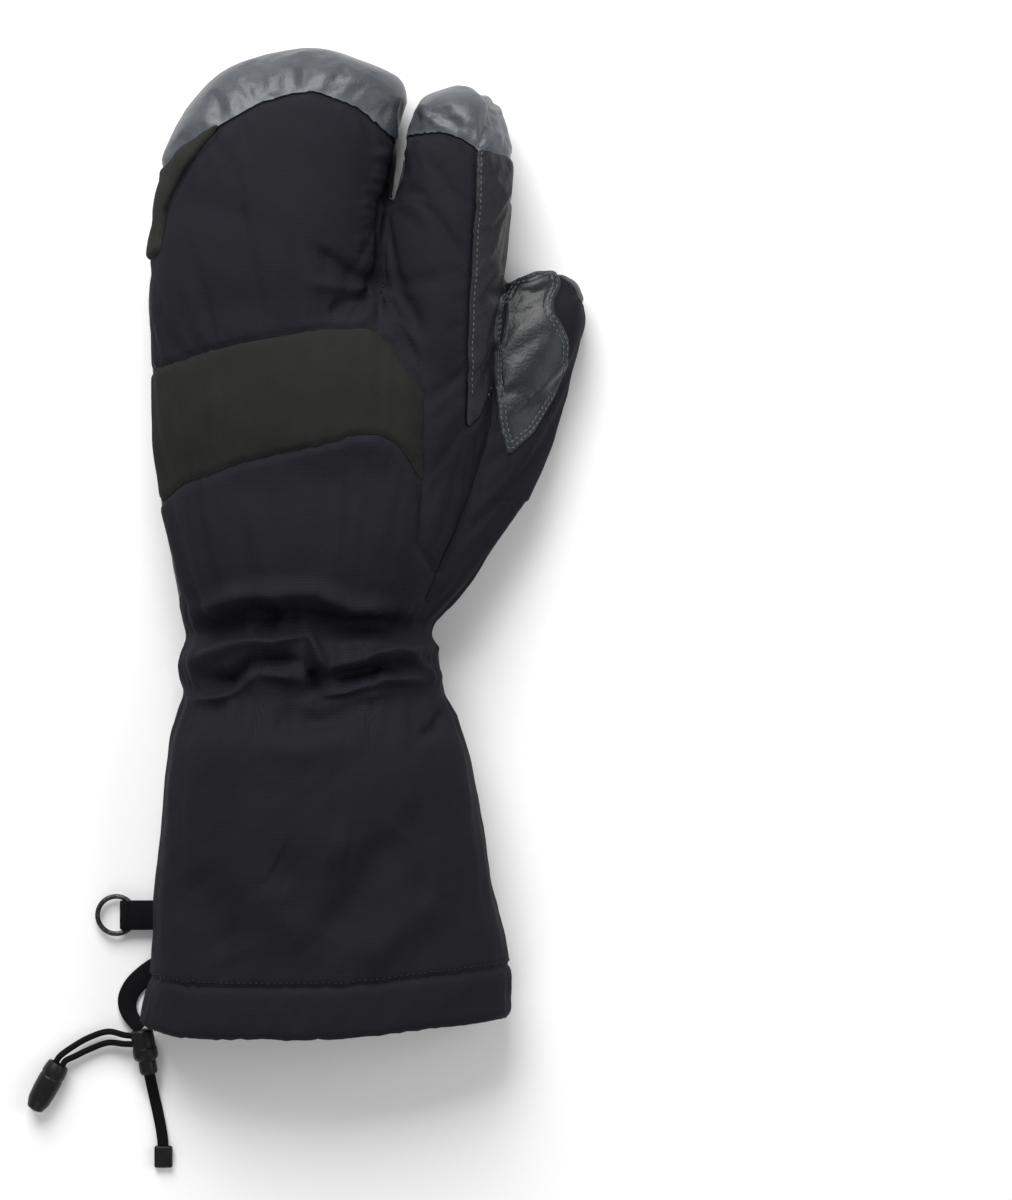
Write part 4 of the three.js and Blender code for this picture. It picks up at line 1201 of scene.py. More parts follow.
# Folds that the photograph shows, each drawn along its crest or its valley. Each row: its height
# in millimetres, its half width, and the pixels that it runs through.
FOLDS = (
    (-7.1, 4.2, ((183, 634), (208, 628), (250, 617), (296, 619), (350, 625), (434, 626))),
    (-2.6, 3.0, ((256, 622), (264, 626), (272, 622))),
    (3.7, 3.2, ((190, 612), (236, 594), (270, 592), (320, 590), (356, 606), (414, 611))),
    (4.3, 2.2, ((188, 659), (206, 654), (247, 642), (276, 643), (295, 636), (306, 625))),
    (6.0, 1.9, ((306, 625), (315, 645), (329, 667))),
    (5.4, 2.2, ((329, 667), (367, 659), (399, 651), (437, 649))),
    (2.6, 3.4, ((336, 644), (360, 642), (392, 642))),
    (3.4, 1.6, ((408, 651), (422, 662), (436, 675))),
    (-5.8, 3.0, ((200, 676), (228, 681), (250, 664), (280, 658), (308, 660))),
    (-5.8, 2.6, ((332, 676), (352, 673), (380, 668), (406, 666))),
    (-6.0, 2.0, ((315, 668), (318, 680), (317, 690))),
    (3.7, 2.0, ((192, 702), (222, 697), (240, 680), (258, 668), (284, 672), (306, 676))),
    (3.7, 2.0, ((322, 695), (358, 683), (388, 674), (434, 678))),
    (1.6, 2.6, ((294, 702), (322, 709), (358, 697), (392, 688))),
    (-2.2, 4.4, ((270, 722), (300, 720), (330, 718), (352, 708))),
    (1.2, 5.0, ((268, 745), (310, 748), (352, 740))),
    (-2.0, 2.2, ((424, 738), (438, 724), (449, 708))),
    (-2.6, 7.0, ((404, 828), (376, 866), (350, 905), (330, 936))),
    (1.8, 7.0, ((330, 842), (352, 846))),
    (2.3, 7.0, ((350, 952), (378, 948), (410, 926), (440, 895))),
    (1.6, 7.0, ((262, 880), (285, 912), (315, 944))),
    (-2.2, 9.0, ((188, 866), (214, 902), (240, 952))),
    (-1.4, 7.0, ((276, 858), (300, 870))),
    (-1.1, 0.9, ((495, 101), (492, 118), (478, 149))),
    (-1.8, 1.3, ((226, 128), (206, 151), (181, 184), (167, 214), (162, 254))),
    (-2.2, 1.9, ((374, 286), (352, 274), (318, 252))),
    (1.6, 2.4, ((372, 293), (345, 291), (312, 286))),
    (-1.6, 1.8, ((374, 296), (352, 302), (330, 316))),
    (1.7, 2.0, ((380, 292), (400, 318), (426, 352))),
    (-1.3, 2.6, ((385, 289), (410, 304), (426, 334))),
    (1.0, 2.4, ((378, 296), (373, 310), (362, 324))),
    (-1.1, 3.0, ((382, 281), (412, 286), (446, 279))),
    (-1.0, 2.0, ((478, 306), (492, 300), (505, 290))),
    (0.9, 2.0, ((478, 312), (490, 309), (502, 300))),
    (-0.9, 6.0, ((176, 196), (220, 214), (262, 226))),
    (-0.8, 7.0, ((196, 318), (250, 306), (300, 310))),
    (-0.3, 2.4, ((509, 388), (520, 393), (532, 398))),
)
# The pocket's inner seam runs beside the gap to the index finger, with short puckers along it.
GAP_SEAM = ((392, 150), (385, 176), (381, 206), (378, 240), (377, 280))
PUCKER_STEP = 9
EVEN_ROUNDS = 40


def along_line(points, pixels):
    """Each point's distance to a drawn line on the ground, and how far along the line it is."""
    line = np.array([spot(pixel) for pixel in pixels])
    best = np.full(len(points), 1.0)
    at = np.zeros(len(points))
    lengths = np.linalg.norm(np.diff(line, axis=0), axis=1)
    before = np.concatenate([[0], np.cumsum(lengths)])
    for k, (start, length) in enumerate(zip(line, lengths)):
        way = (line[k + 1] - start) / length
        off = points[:, :2] - start
        t = np.clip(off @ way, 0, length)
        distance = np.linalg.norm(off - t[:, None] * way, axis=1)
        nearer = distance < best
        best[nearer] = distance[nearer]
        at[nearer] = (before[k] + t[nearer]) / before[-1]
    return best, at


def folds_at(points, folds):
    height = np.zeros(len(points))
    for tall, wide, pixels in folds:
        distance, at = along_line(points, pixels)
        ends = np.clip(np.minimum(at, 1 - at) * 5, 0.15, 1) ** 0.7
        height += tall * MM * ends * np.exp(-((distance / (wide * MM)) ** 2))
    return height


dice = np.random.default_rng(7)
puckers = [(-1.3, 0.9, GAP_SEAM)]
for k in range(int((GAP_SEAM[-1][1] - GAP_SEAM[0][1]) / PUCKER_STEP)):
    y = GAP_SEAM[0][1] + PUCKER_STEP * (k + 0.5 + dice.uniform(-0.2, 0.2))
    x = float(np.interp(y, [p[1] for p in GAP_SEAM], [p[0] for p in GAP_SEAM]))
    reach = dice.uniform(12, 24)
    rise = dice.uniform(-6, 2)
    puckers.append((dice.uniform(0.5, 0.9), 1.3, ((x - 2, y), (x - reach, y + rise))))


def waves(points, size, height, seed, stretch=(1, 1, 1)):
    """Soft unevenness: waves of about one size that run in many directions and bend each other."""
    turns = np.random.default_rng(seed)
    at = points * np.array(stretch) / size
    total = np.zeros(len(points))
    for k in range(7):
        way = turns.normal(size=3)
        way /= np.linalg.norm(way)
        bend = turns.normal(size=3) * 0.7
        phase = turns.uniform(0, 2 * math.pi, 2)
        total += np.sin(at @ way * 2 * math.pi + phase[0] + 1.6 * np.sin(at @ bend * 2 + phase[1]))
    return height * total / 4


body_normals = normals_of(body_points, body_triangles)
facing_up = np.clip((body_normals[:, 2] + 0.1) / 0.4, 0, 1)
rise = folds_at(rest_points, FOLDS) + folds_at(rest_points, puckers)
rise *= facing_up
even_normals = body_normals
for _ in range(EVEN_ROUNDS):
    even_normals = 0.5 * even_normals + 0.5 * body_neighbours(even_normals)
even_normals /= np.linalg.norm(even_normals, axis=1)[:, None]
WRIST_TOP = spot((0, 590))[1]
WRIST_FADE = 12 * MM
in_cuff = np.clip((WRIST_TOP - rest_points[:, 1]) / WRIST_FADE, 0, 1)
rise += in_cuff * waves(rest_points, 26 * MM, 0.55 * MM, 3, (1, 0.8, 1))
rise += in_cuff * waves(rest_points, 9 * MM, 0.14 * MM, 4)
rise += (1 - in_cuff) * waves(rest_points, 17 * MM, 0.2 * MM, 5)
body_points += even_normals * rise[:, None]

# The outline in the photograph, read row by row: the skin's sides are eased out or in to meet it.
# Each row: the pixel's y and x.
LEFT_OUTLINE = (
    (60, 240), (72, 217), (94, 195), (116, 181), (138, 170), (160, 162), (182, 163), (204, 159), (226, 155),
    (248, 153), (292, 148), (336, 149), (402, 152), (468, 156), (512, 161), (556, 170), (600, 178),
    (622, 181), (644, 182), (666, 176), (688, 181), (710, 176), (732, 170), (776, 164), (864, 156),
    (930, 152), (974, 149), (990, 147), (1004, 143), (1016, 140), (1028, 138),
)
RIGHT_OUTLINE = (
    (512, 520), (534, 505), (556, 489), (578, 476), (600, 460), (622, 438), (644, 440), (666, 440),
    (688, 444), (710, 456), (732, 463), (776, 474), (820, 482), (864, 488), (930, 501), (974, 509),
    (996, 512), (1018, 511),
)
INDEX_OUTLINE = (
    (94, 491), (116, 504), (138, 510), (160, 512), (182, 513), (204, 512), (226, 510), (248, 508),
)
CLAW_INNER = tuple((y, m - h) for y, m, h in zip(GAP_ROWS, GAP_MIDDLES, GAP_HALVES))
CLAW_INNER = ((62, 370), (76, 400), *CLAW_INNER)
INDEX_INNER = tuple((y, m + h) for y, m, h in zip(GAP_ROWS, GAP_MIDDLES, GAP_HALVES))
ROW_HALF = 1.3 * MM


def eased(points, side, outline, part):
    """How far the points of a part move in x so that its side, -1 or 1, meets an outline."""
    rows = np.array([spot((0, y))[1] for y, _ in outline])
    aims = np.array([spot((x, 0))[0] for _, x in outline])
    shifts, ends, middles = [], [], []
    for row, aim in zip(rows, aims):
        line = points[part & (np.abs(points[:, 1] - row) < ROW_HALF), 0]
        end = line.max() if side > 0 else line.min()
        shifts.append(aim - end)
        ends.append(end)
        middles.append((line.max() + line.min()) / 2)
    order = np.argsort(rows)
    shift, end, middle = (
        np.interp(points[:, 1], rows[order], np.array(values)[order])
        for values in (shifts, ends, middles)
    )
    reach = np.clip((points[:, 0] - middle) / (end - middle), 0, 1)
    outside = np.maximum(rows.min() - points[:, 1], points[:, 1] - rows.max()).clip(0)
    return np.where(part, shift * reach**1.5 * np.exp(-outside / (6 * MM)), 0)


gap_rows = [spot((0, y))[1] for y in GAP_ROWS]
gap_x = np.interp(rest_points[:, 1], gap_rows[::-1], [spot((x, 0))[0] for x in GAP_MIDDLES[::-1]])
in_fingers = rest_points[:, 1] > gap_rows[-1]
everywhere = np.ones(len(rest_points), bool)
is_index = rest_points[:, 0] > gap_x
no_thumb = rest_points[:, 0] < spot((514, 0))[0]
move = eased(body_points, -1, LEFT_OUTLINE, ~in_fingers | ~is_index)
move += eased(body_points, 1, RIGHT_OUTLINE, everywhere & (rest_points[:, 1] < spot((0, 500))[1]))
move += eased(body_points, 1, INDEX_OUTLINE, no_thumb & is_index & (body_points[:, 1] > 0.09))
body_points[:, 0] += move
move = eased(body_points, 1, CLAW_INNER, in_fingers & ~is_index)
body_points[:, 0] += move + eased(body_points, -1, INDEX_INNER, in_fingers & is_index)

# The hem lies askew: its seam and its edge rise to the thumb's side. Pixels along the seam.
HEM_SEAM = ((150, 979), (176, 984), (222, 985), (345, 984), (376, 981), (422, 975), (468, 971), (506, 967))
seam_x = [spot((x, 0))[0] for x, _ in HEM_SEAM]
seam_up = [(985 - y) * PIXEL for _, y in HEM_SEAM]
SLANT_TOP = spot((0, 760))[1]
SLANT_FADE = 75 * MM
near_hem = np.clip((SLANT_TOP - rest_points[:, 1]) / SLANT_FADE, 0, 1)
body_points[:, 1] += np.interp(body_points[:, 0], seam_x, seam_up) * near_hem**1.5

# The tips reach a little further: each row names a tip, how far it moves and how wide the push is.
for tip, (aside, ahead), wide in (
    ((318, 52), (0, 1.4), 24),
    ((456, 86), (0, 1.0), 12),
    ((562, 285), (2.0, 1.8), 17),
    ((578, 330), (1.2, 0), 14),
):
    off = np.linalg.norm(rest_points[:, :2] - np.array(spot(tip)), axis=1)
    push = np.exp(-((off / (wide * MM)) ** 2)) * MM
    push[(tip[0] > 520) & no_thumb] *= 0.2
    body_points[:, 0] += aside * push
    body_points[:, 1] += ahead * push

# Underneath, the hand lies on its palm patches and the hem on its tab.
HAND_END = spot((0, 640))[1]
hand_share = np.clip((rest_points[:, 1] - HAND_END) / WRIST_FADE, 0, 1)
tab_corners = (np.array(TAB_LOW[:2]), np.array(TAB_HIGH[:2]))
tab_off = np.maximum(tab_corners[0] - body_points[:, :2], body_points[:, :2] - tab_corners[1])
over_tab = np.clip(1.6 - np.max(tab_off, axis=1) / (1 * MM), 0, 1)
lowest = np.maximum(0.05 + 1.3 * hand_share, 1.6 * over_tab) * MM
body_points[:, 2] = np.maximum(body_points[:, 2], lowest)
WRIST_MIDDLE = spot((0, 655))[1]
WRIST_HALF = 26 * MM
in_wrist = np.clip(1 - np.abs(rest_points[:, 1] - WRIST_MIDDLE) / WRIST_HALF, 0, 1) ** 0.5
for _ in range(2):
    body_points += 0.5 * in_wrist[:, None] * (body_neighbours(body_points) - body_points)
body_normals = normals_of(body_points, body_triangles)

# How far each point is from the nearest sewing line, for what the seams do to the panels.
owned = [body_triangles[owner == k] for k in (*range(MOUTH), THUMB_PALM)]
cuff = BODY_NODES.index("wrist_cuff")
sewn = [border_edges(faces).ravel() for k, faces in enumerate(owned) if k != cuff]
seam_points = np.setdiff1d(np.unique(np.concatenate(sewn)), border_edges(owned[cuff]))
seam_tree = KDTree(len(seam_points))
for k, point in enumerate(body_points[seam_points]):
    seam_tree.insert(point, k)
seam_tree.balance()
seam_distance = np.array([seam_tree.find(point)[2] for point in body_points])


def laid_out(points, normals):
    """The cloth's own places: across and along, with the sides unrolled beside the top."""
    turned = np.clip(normals[:, 0] * 3, -1, 1)
    tall = points[:, 2].max()
    return np.stack([points[:, 0] + turned * (tall - points[:, 2]) * 0.8, points[:, 1]], axis=1)


def walled(name, outer, inner, triangles, laid, near_edge, material):
    """A closed piece: an outer face, an inner face and a rim where it ends."""
    used, faces = np.unique(triangles, return_inverse=True)
    faces = faces.reshape(-1, 3)
    count = len(used)
    rim = border_edges(faces)
    rims = np.concatenate(
        [
            np.stack([rim[:, 1], rim[:, 0], rim[:, 0] + count], axis=1),
            np.stack([rim[:, 1], rim[:, 0] + count, rim[:, 1] + count], axis=1),
        ]
    )
    everything = np.concatenate([faces, faces[:, ::-1] + count, rims])
    points = np.concatenate([outer[used], inner[used]])
    mesh = bpy.data.meshes.new(name)
    mesh.vertices.add(len(points))
    mesh.vertices.foreach_set("co", points.astype(np.float32).ravel())
    mesh.loops.add(everything.size)
    mesh.loops.foreach_set("vertex_index", everything.astype(np.int32).ravel())
    mesh.polygons.add(len(everything))
    mesh.polygons.foreach_set("loop_start", np.arange(0, everything.size, 3, dtype=np.int32))
    mesh.polygons.foreach_set("loop_total", np.full(len(everything), 3, np.int32))
    mesh.update(calc_edges=True)
    mesh.validate()
    mesh.polygons.foreach_set("use_smooth", np.ones(len(everything), bool))
    uv = mesh.uv_layers.new(name="cloth")
    places = np.concatenate([laid[used], laid[used]])[everything.ravel()]
    uv.data.foreach_set("uv", places.astype(np.float32).ravel())
    edge = mesh.attributes.new("near_seam", "FLOAT", "POINT")
    edge.data.foreach_set("value", np.tile(near_edge[used], 2).astype(np.float32))
    sharp = mesh.attributes.new("sharp_edge", "BOOLEAN", "EDGE")
    made_edges = edges_of(mesh)
    rim_keys = {tuple(sorted(pair)) for pair in rim.tolist()}
    flags = np.array([tuple(sorted(pair)) in rim_keys for pair in made_edges.tolist()], bool)
    sharp.data.foreach_set("value", flags)
    return place_object(name, mesh, material)


# The materials of the panels.
def attribute_of(finish, name):
    return finish.node("ShaderNodeAttribute", {"attribute_name": name}, {}, output=2)


def ripstop_finish(name, dark, light):
    """Tight black nylon with a grid of thicker yarns every 1.7 mm and a dull sheen."""
    finish = Finish(name, Specular_IOR_Level=0.05)
    across, along = finish.cloth()
    grid = 2 * math.pi / (1.75 * MM)
    lines = ((across * grid).sine() ** 14).larger((along * grid).sine() ** 14)
    yarn = 2 * math.pi / (0.42 * MM)
    weave = ((across * yarn).sine() * (along * yarn).sine()).spread(-1, 1)
    cloud = finish.speckle(14 * MM, 4, 0.6)
    fuzz = finish.speckle(0.5 * MM, 3)
    wear_and_highlight = attribute_of(finish, "near_seam")
    # The colour is lighter along the seams: a painted highlight on the panels' edges.
    tone = lines * 0.3 + weave * 0.15 + cloud * 0.35 + fuzz * 0.1 + wear_and_highlight * 0.16
    finish.feed("Base Color", finish.blend(tone.spread(0.1, 0.9), dark, light))
    finish.feed("Roughness", cloud.spread(0.3, 0.7, 0.62, 0.78))
    relief = finish.bump(lines * 0.6 + weave * 0.4, 0.06 * MM)
    finish.feed("Normal", finish.bump(finish.speckle(3.5 * MM, 3, 0.6), 0.16 * MM, relief))
    return finish


def leather_finish(name, dark, light, roughness, coat):
    """Goatskin: a fine pebbled grain, soft wrinkles, a waxed sheen, and a colour lightened along the edges as
    a painted highlight.
    """
    finish = Finish(name, Coat_Roughness=0.4, Coat_Weight=coat, Specular_IOR_Level=0.22)
    place = finish.place()
    pebble = finish.node(
        "ShaderNodeTexVoronoi", {"feature": "SMOOTH_F1"}, {"Vector": place, "Scale": 1 / (0.95 * MM)}
    )
    fine = finish.speckle(0.5 * MM, 3)
    cloud = finish.speckle(11 * MM, 4, 0.62)
    wrinkle = finish.speckle(3.2 * MM, 5, 0.62)
    wear_and_highlight = attribute_of(finish, "near_seam")
    # The colour is lighter along the seams: a painted highlight on the panels' edges.
    tone = cloud * 0.55 + wrinkle * 0.2 + wear_and_highlight * 0.3 - pebble * 0.1
    finish.feed("Base Color", finish.blend(tone.spread(0.1, 0.85), dark, light))
    finish.feed("Roughness", (cloud * 0.6 + fine * 0.4).spread(0.3, 0.7, roughness - 0.06, roughness + 0.1))
    relief = finish.bump(pebble * 0.8 + fine * 0.3, 0.1 * MM)
    finish.feed("Normal", finish.bump(wrinkle, 0.35 * MM, relief))
    return finish


def softshell_finish(name, dark, light):
    """Stretch softshell: a smooth, dense knit with a matt face and tiny flecks."""
    finish = Finish(name, Specular_IOR_Level=0.05)
    across, along = finish.cloth()
    knit = 2 * math.pi / (0.6 * MM)
    rows = ((across * knit).sine() * ((along * knit) * 0.5).sine()).spread(-1, 1)
    fleck = finish.speckle(0.7 * MM, 3, 0.6)
    cloud = finish.speckle(16 * MM, 3, 0.6)
    wear_and_highlight = attribute_of(finish, "near_seam")
    # The colour is lighter along the seams: a painted highlight on the panels' edges.
    tone = fleck * 0.4 + cloud * 0.35 + rows * 0.15 + wear_and_highlight * 0.1
    finish.feed("Base Color", finish.blend(tone.spread(0.15, 0.85), dark, light))
    finish.feed("Roughness", fleck.spread(0.3, 0.7, 0.72, 0.88))
    finish.feed("Normal", finish.bump(rows * 0.5 + fleck * 0.5, 0.07 * MM))
    return finish


shell_nylon = ripstop_finish("shell_nylon", (0.0075, 0.0072, 0.0096), (0.0195, 0.0186, 0.0245))
band_softshell = softshell_finish("band_softshell", (0.0095, 0.0095, 0.0092), (0.0235, 0.0235, 0.0225))
cap_leather = leather_finish("cap_leather", (0.022, 0.026, 0.032), (0.08, 0.088, 0.103), 0.38, 0.35)
# The index finger's side strip is the caps' leather drawn much darker: painted shade, as that side faces away
# from the lights.
shaded_side_leather = leather_finish("shaded_side_leather", (0.0045, 0.0045, 0.006), (0.014, 0.014, 0.0175), 0.5, 0.0)
palm_leather = leather_finish("palm_leather", (0.013, 0.014, 0.016), (0.034, 0.036, 0.041), 0.45, 0.12)
patch_leather = leather_finish("patch_leather", (0.006, 0.0066, 0.0078), (0.02, 0.022, 0.0245), 0.36, 0.2)

# Each panel: its material, its slot, how deep its edge sinks at the seams and how wide, its wall,
# and how tightly it is filled. Leather is cut thick and laps over; the nylon turns in.
PANELS = {
    "claw_cap": (cap_leather, "cap_leather", 0.35, 0.9, 3.0, 0.7),
    "index_cap": (cap_leather, "cap_leather", 0.35, 0.9, 3.0, 0.7),
    "back_panel": (shell_nylon, "ripstop", 1.3, 1.5, 3.0, 0.65),
    "index_back": (shell_nylon, "ripstop", 1.3, 1.5, 3.0, 0.65),
    # The side strip's darker leather is painted shade on the caps' leather.
    "index_side": (shaded_side_leather, "cap_leather", 0.4, 0.9, 3.0, 0.65),
    "knuckle_band": (band_softshell, "softshell", 0.9, 1.2, 3.0, 0.6),
    "lower_back": (shell_nylon, "ripstop", 1.2, 1.5, 3.0, 0.55),
    "palm": (palm_leather, "palm_leather", 0.5, 1.0, 3.0, 0.6),
    "index_palm": (palm_leather, "palm_leather", 0.5, 1.0, 3.0, 0.6),
    "palm_gusset": (palm_leather, "palm_leather", 0.5, 1.0, 2.0, 0.5),
    "thumb_gusset": (palm_leather, "palm_leather", 0.5, 1.0, 2.0, 0.5),
    "thumb_body": (shell_nylon, "ripstop", 1.0, 1.3, 3.0, 0.6),
    "wrist_cuff": (shell_nylon, "ripstop", 1.2, 1.6, 2.0, 0.3),
    "gauntlet": (shell_nylon, "ripstop", 0.9, 1.4, 2.0, 0.2),
    "hem": (shell_nylon, "ripstop", 1.0, 1.4, 2.6, 0.35),
    "thumb_palm": (palm_leather, "palm_leather", 0.4, 0.9, 3.0, 0.6),
}
laid = laid_out(rest_points, normals_of(rest_points, body_triangles))
# The colour is lighter within a few millimetres of a seam: a painted highlight.
SEAM_HIGHLIGHT_WIDTH = 3 * MM
near_seam = np.exp(-seam_distance / SEAM_HIGHLIGHT_WIDTH)
outer_faces = {}
for k, (name, (finish, slot, sink, wide, wall, fill)) in enumerate(PANELS.items()):
    drop = sink * MM * np.exp(-((seam_distance / (wide * MM)) ** 2))
    outer = body_points - body_normals * drop[:, None]
    inner = outer - body_normals * wall * MM
    outer[:, 2] = np.maximum(outer[:, 2], 0)
    inner[:, 2] = np.maximum(inner[:, 2], outer[:, 2].clip(0, 0.4 * MM))
    piece = walled(name + "_panel", outer, inner, owned[k], laid, near_seam, finish.material)
    outer_faces[name] = (outer, owned[k])
    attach(piece, "root")
    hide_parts("thumb_body" if name == "thumb_palm" else name)

# Patches of leather lie over the palm and the thumb, and a loop of tape over the side seam. Each is
# the body's own surface near the model's patch, lifted by its thickness, with an edge turned under.
def split_up(faces, *fields):
    """Each triangle cut into four, with the fields carried over to the new points."""
    edges = edges_between(faces)
    count = len(fields[0])
    key = edges[:, 0].astype(np.int64) * count + edges[:, 1]

    def middle(a, b):
        low, high = np.minimum(a, b), np.maximum(a, b)
        return count + np.searchsorted(key, low.astype(np.int64) * count + high)

    a, b, c = faces.T
    ab, bc, ca = middle(a, b), middle(b, c), middle(c, a)
    parts = ((a, ab, ca), (ab, b, bc), (ca, bc, c), (ab, bc, ca))
    finer = np.concatenate([np.stack(part, axis=1) for part in parts])
    return finer, [np.concatenate([f, (f[edges[:, 0]] + f[edges[:, 1]]) / 2]) for f in fields]


def distance_to_points(points, targets):
    tree = KDTree(len(targets))
    for k, target in enumerate(targets):
        tree.insert(target, k)
    tree.balance()
    return np.array([tree.find(point)[2] for point in points])


def smooth_border(faces, points, rounds=4):
    """Evens out the border of an open piece, along itself."""
    rim = border_edges(faces)
    average = averager(rim, len(points))
    on_rim = np.unique(rim)
    for _ in range(rounds):
        points[on_rim] = 0.5 * points[on_rim] + 0.5 * average(points)[on_rim]


# Outlines that the photograph shows, in pixels, and how low their pieces reach. The side loop wraps
# over the side from its point under the cap; the thumb's patch is a leaf with a notch by its tip.
DRAWN = {
    "side_loop": (
        14 * MM,
        (
            (229, 124), (207, 150), (183, 183), (169, 213), (163, 256), (152, 262), (140, 240),
            (138, 200), (148, 172), (171, 166), (190, 149), (210, 134),
        ),
    ),
    "thumb_patch": (
        13 * MM,
        (
            (507, 459), (499, 430), (494, 380), (494, 330), (500, 298), (516, 281), (540, 273),
            (556, 272), (562, 285), (554, 300), (553, 312), (562, 325), (569, 342), (567, 362),
            (552, 400), (535, 432),
        ),
    ),
}


def cut_patch(node, reach):
    """The part of the body's surface that a model's patch covers."""
    low, high = (np.array(corner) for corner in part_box(node))
    if node == "side_loop":
        low = low - np.array((3, 0, 16)) * MM
    near = np.all((rest_points > low - 6 * MM) & (rest_points < high + 6 * MM), axis=1)
    used, faces = np.unique(body_triangles[near[body_triangles].all(axis=1)], return_inverse=True)
    faces = faces.reshape(-1, 3)
    fields = [body_points[used], body_normals[used], laid[used], rest_points[used]]
    if node in DRAWN:
        lowest, outline = DRAWN[node]
        away = outside_outline(fields[0], outline) + SEARCH * (fields[0][:, 2] < lowest)
    else:
        away = distances_to(node_tree(node), rest_points[used])
    inside = (1 / (1 + np.exp((away - reach) / (0.45 * MM))))[:, None]
    average = averager(edges_between(faces), len(used))
    for _ in range(5):
        inside = 0.5 * inside + 0.5 * average(inside)
    owners = cut_by_shares(np.concatenate([inside, 1 - inside], axis=1), faces, *fields)
    used, faces = np.unique(faces[owners == 0], return_inverse=True)
    finer, fields = split_up(faces.reshape(-1, 3), *(field[used] for field in fields))
    smooth_border(finer, fields[0])
    average = averager(edges_between(finer), len(fields[0]))
    inner = np.ones(len(fields[0]), bool)
    inner[np.unique(border_edges(finer))] = False
    for _ in range(2):
        fields[0][inner] = 0.5 * fields[0][inner] + 0.5 * average(fields[0])[inner]
    return finer, *fields[:3]


# Each piece: how far it reaches past the model's, its thickness, the height of its rolled edge and
# where its rows of stitches run, in millimetres.
EDGE_TURN = 0.7 * MM
ROLL_AT = 0.9 * MM
ROLL_HALF = 0.5 * MM
GROOVE_DEEP = 0.28
GROOVE_HALF = 0.45 * MM
PATCH_CLEAR = 0.12
PATCH_SUNK = 0.35
PATCH_RIM_HIGHLIGHT = 1.5 * MM
PATCHES = {
    "palm_patch_upper": (1.1, 1.0, 0.5, (1.7, 3.2)),
    "palm_patch_middle": (1.1, 1.0, 0.5, (1.7, 3.2)),
    "palm_patch_lower": (1.1, 1.0, 0.5, (1.7, 3.2)),
    "thumb_patch": (0, 1.0, 0.3, (1.4, 2.9)),
    "side_loop": (0, 1.7, 0.0, ()),
}
loop_tape = softshell_finish("loop_tape", (0.012, 0.012, 0.0112), (0.03, 0.03, 0.027))
patch_rows = {}
for node, (reach, thick, roll, rows) in PATCHES.items():
    faces, points, normals, places = cut_patch(node, reach * MM)
    rim = np.unique(border_edges(faces))
    depth = distance_to_points(points, points[rim])
    lift = thick * (1 - np.exp(-((depth / EDGE_TURN) ** 1.2)))
    lift += roll * np.exp(-(((depth - ROLL_AT) / ROLL_HALF) ** 2))
    for row in rows:
        lift -= GROOVE_DEEP * np.exp(-(((depth - row * MM) / GROOVE_HALF) ** 2))
    outer = points + normals * (lift[:, None] + PATCH_CLEAR) * MM
    inner = points - normals * PATCH_SUNK * MM
    outer[:, 2] = np.maximum(outer[:, 2], 0)
    finish = loop_tape if node == "side_loop" else patch_leather
    # Patches are lighter near their rims: a painted highlight.
    near_rim = np.exp(-depth / PATCH_RIM_HIGHLIGHT)
    piece = walled(node + "_cover", outer, inner, faces, places, near_rim, finish.material)
    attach(piece, "root")
    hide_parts(node)
    "webbing" if node == "side_loop" else "patch_leather"
    patch_rows[node] = (outer, faces, depth, rows)


# Stitches: rows of short threads that follow a panel's edge at a set distance.
def level_lines(points, faces, values, level):
    """The lines on a surface along which a value has one level, as chains of points and normals."""
    above = values[faces] > level
    crossed = faces[above.any(axis=1) & ~above.all(axis=1)]
    normals = normals_of(points, faces)
    places, links = {}, {}
    for face in crossed.tolist():
        ends = []
        for a, b in zip(face, face[1:] + face[:1]):
            if (values[a] > level) == (values[b] > level):
                continue
            key = (min(a, b), max(a, b))
            t = (level - values[key[0]]) / (values[key[1]] - values[key[0]])
            places[key] = tuple((f[key[0]] * (1 - t) + f[key[1]] * t) for f in (points, normals))
            ends.append(key)
        for one, other in (ends, ends[::-1]):
            links.setdefault(one, []).append(other)
    chains = []
    while links:
        loose = [key for key, found in links.items() if len(found) == 1]
        key = loose[0] if loose else next(iter(links))
        chain = [key]
        while key in links:
            followers = links.pop(key)
            following = [after for after in followers if after in links]
            if not following:
                if len(followers) == 2 and len(chain) > 6 and not loose:
                    chain.append(chain[0])
                break
            key = following[0]
            chain.append(key)
        chains.append([np.array([places[key][k] for key in chain]) for k in range(2)])
    return chains


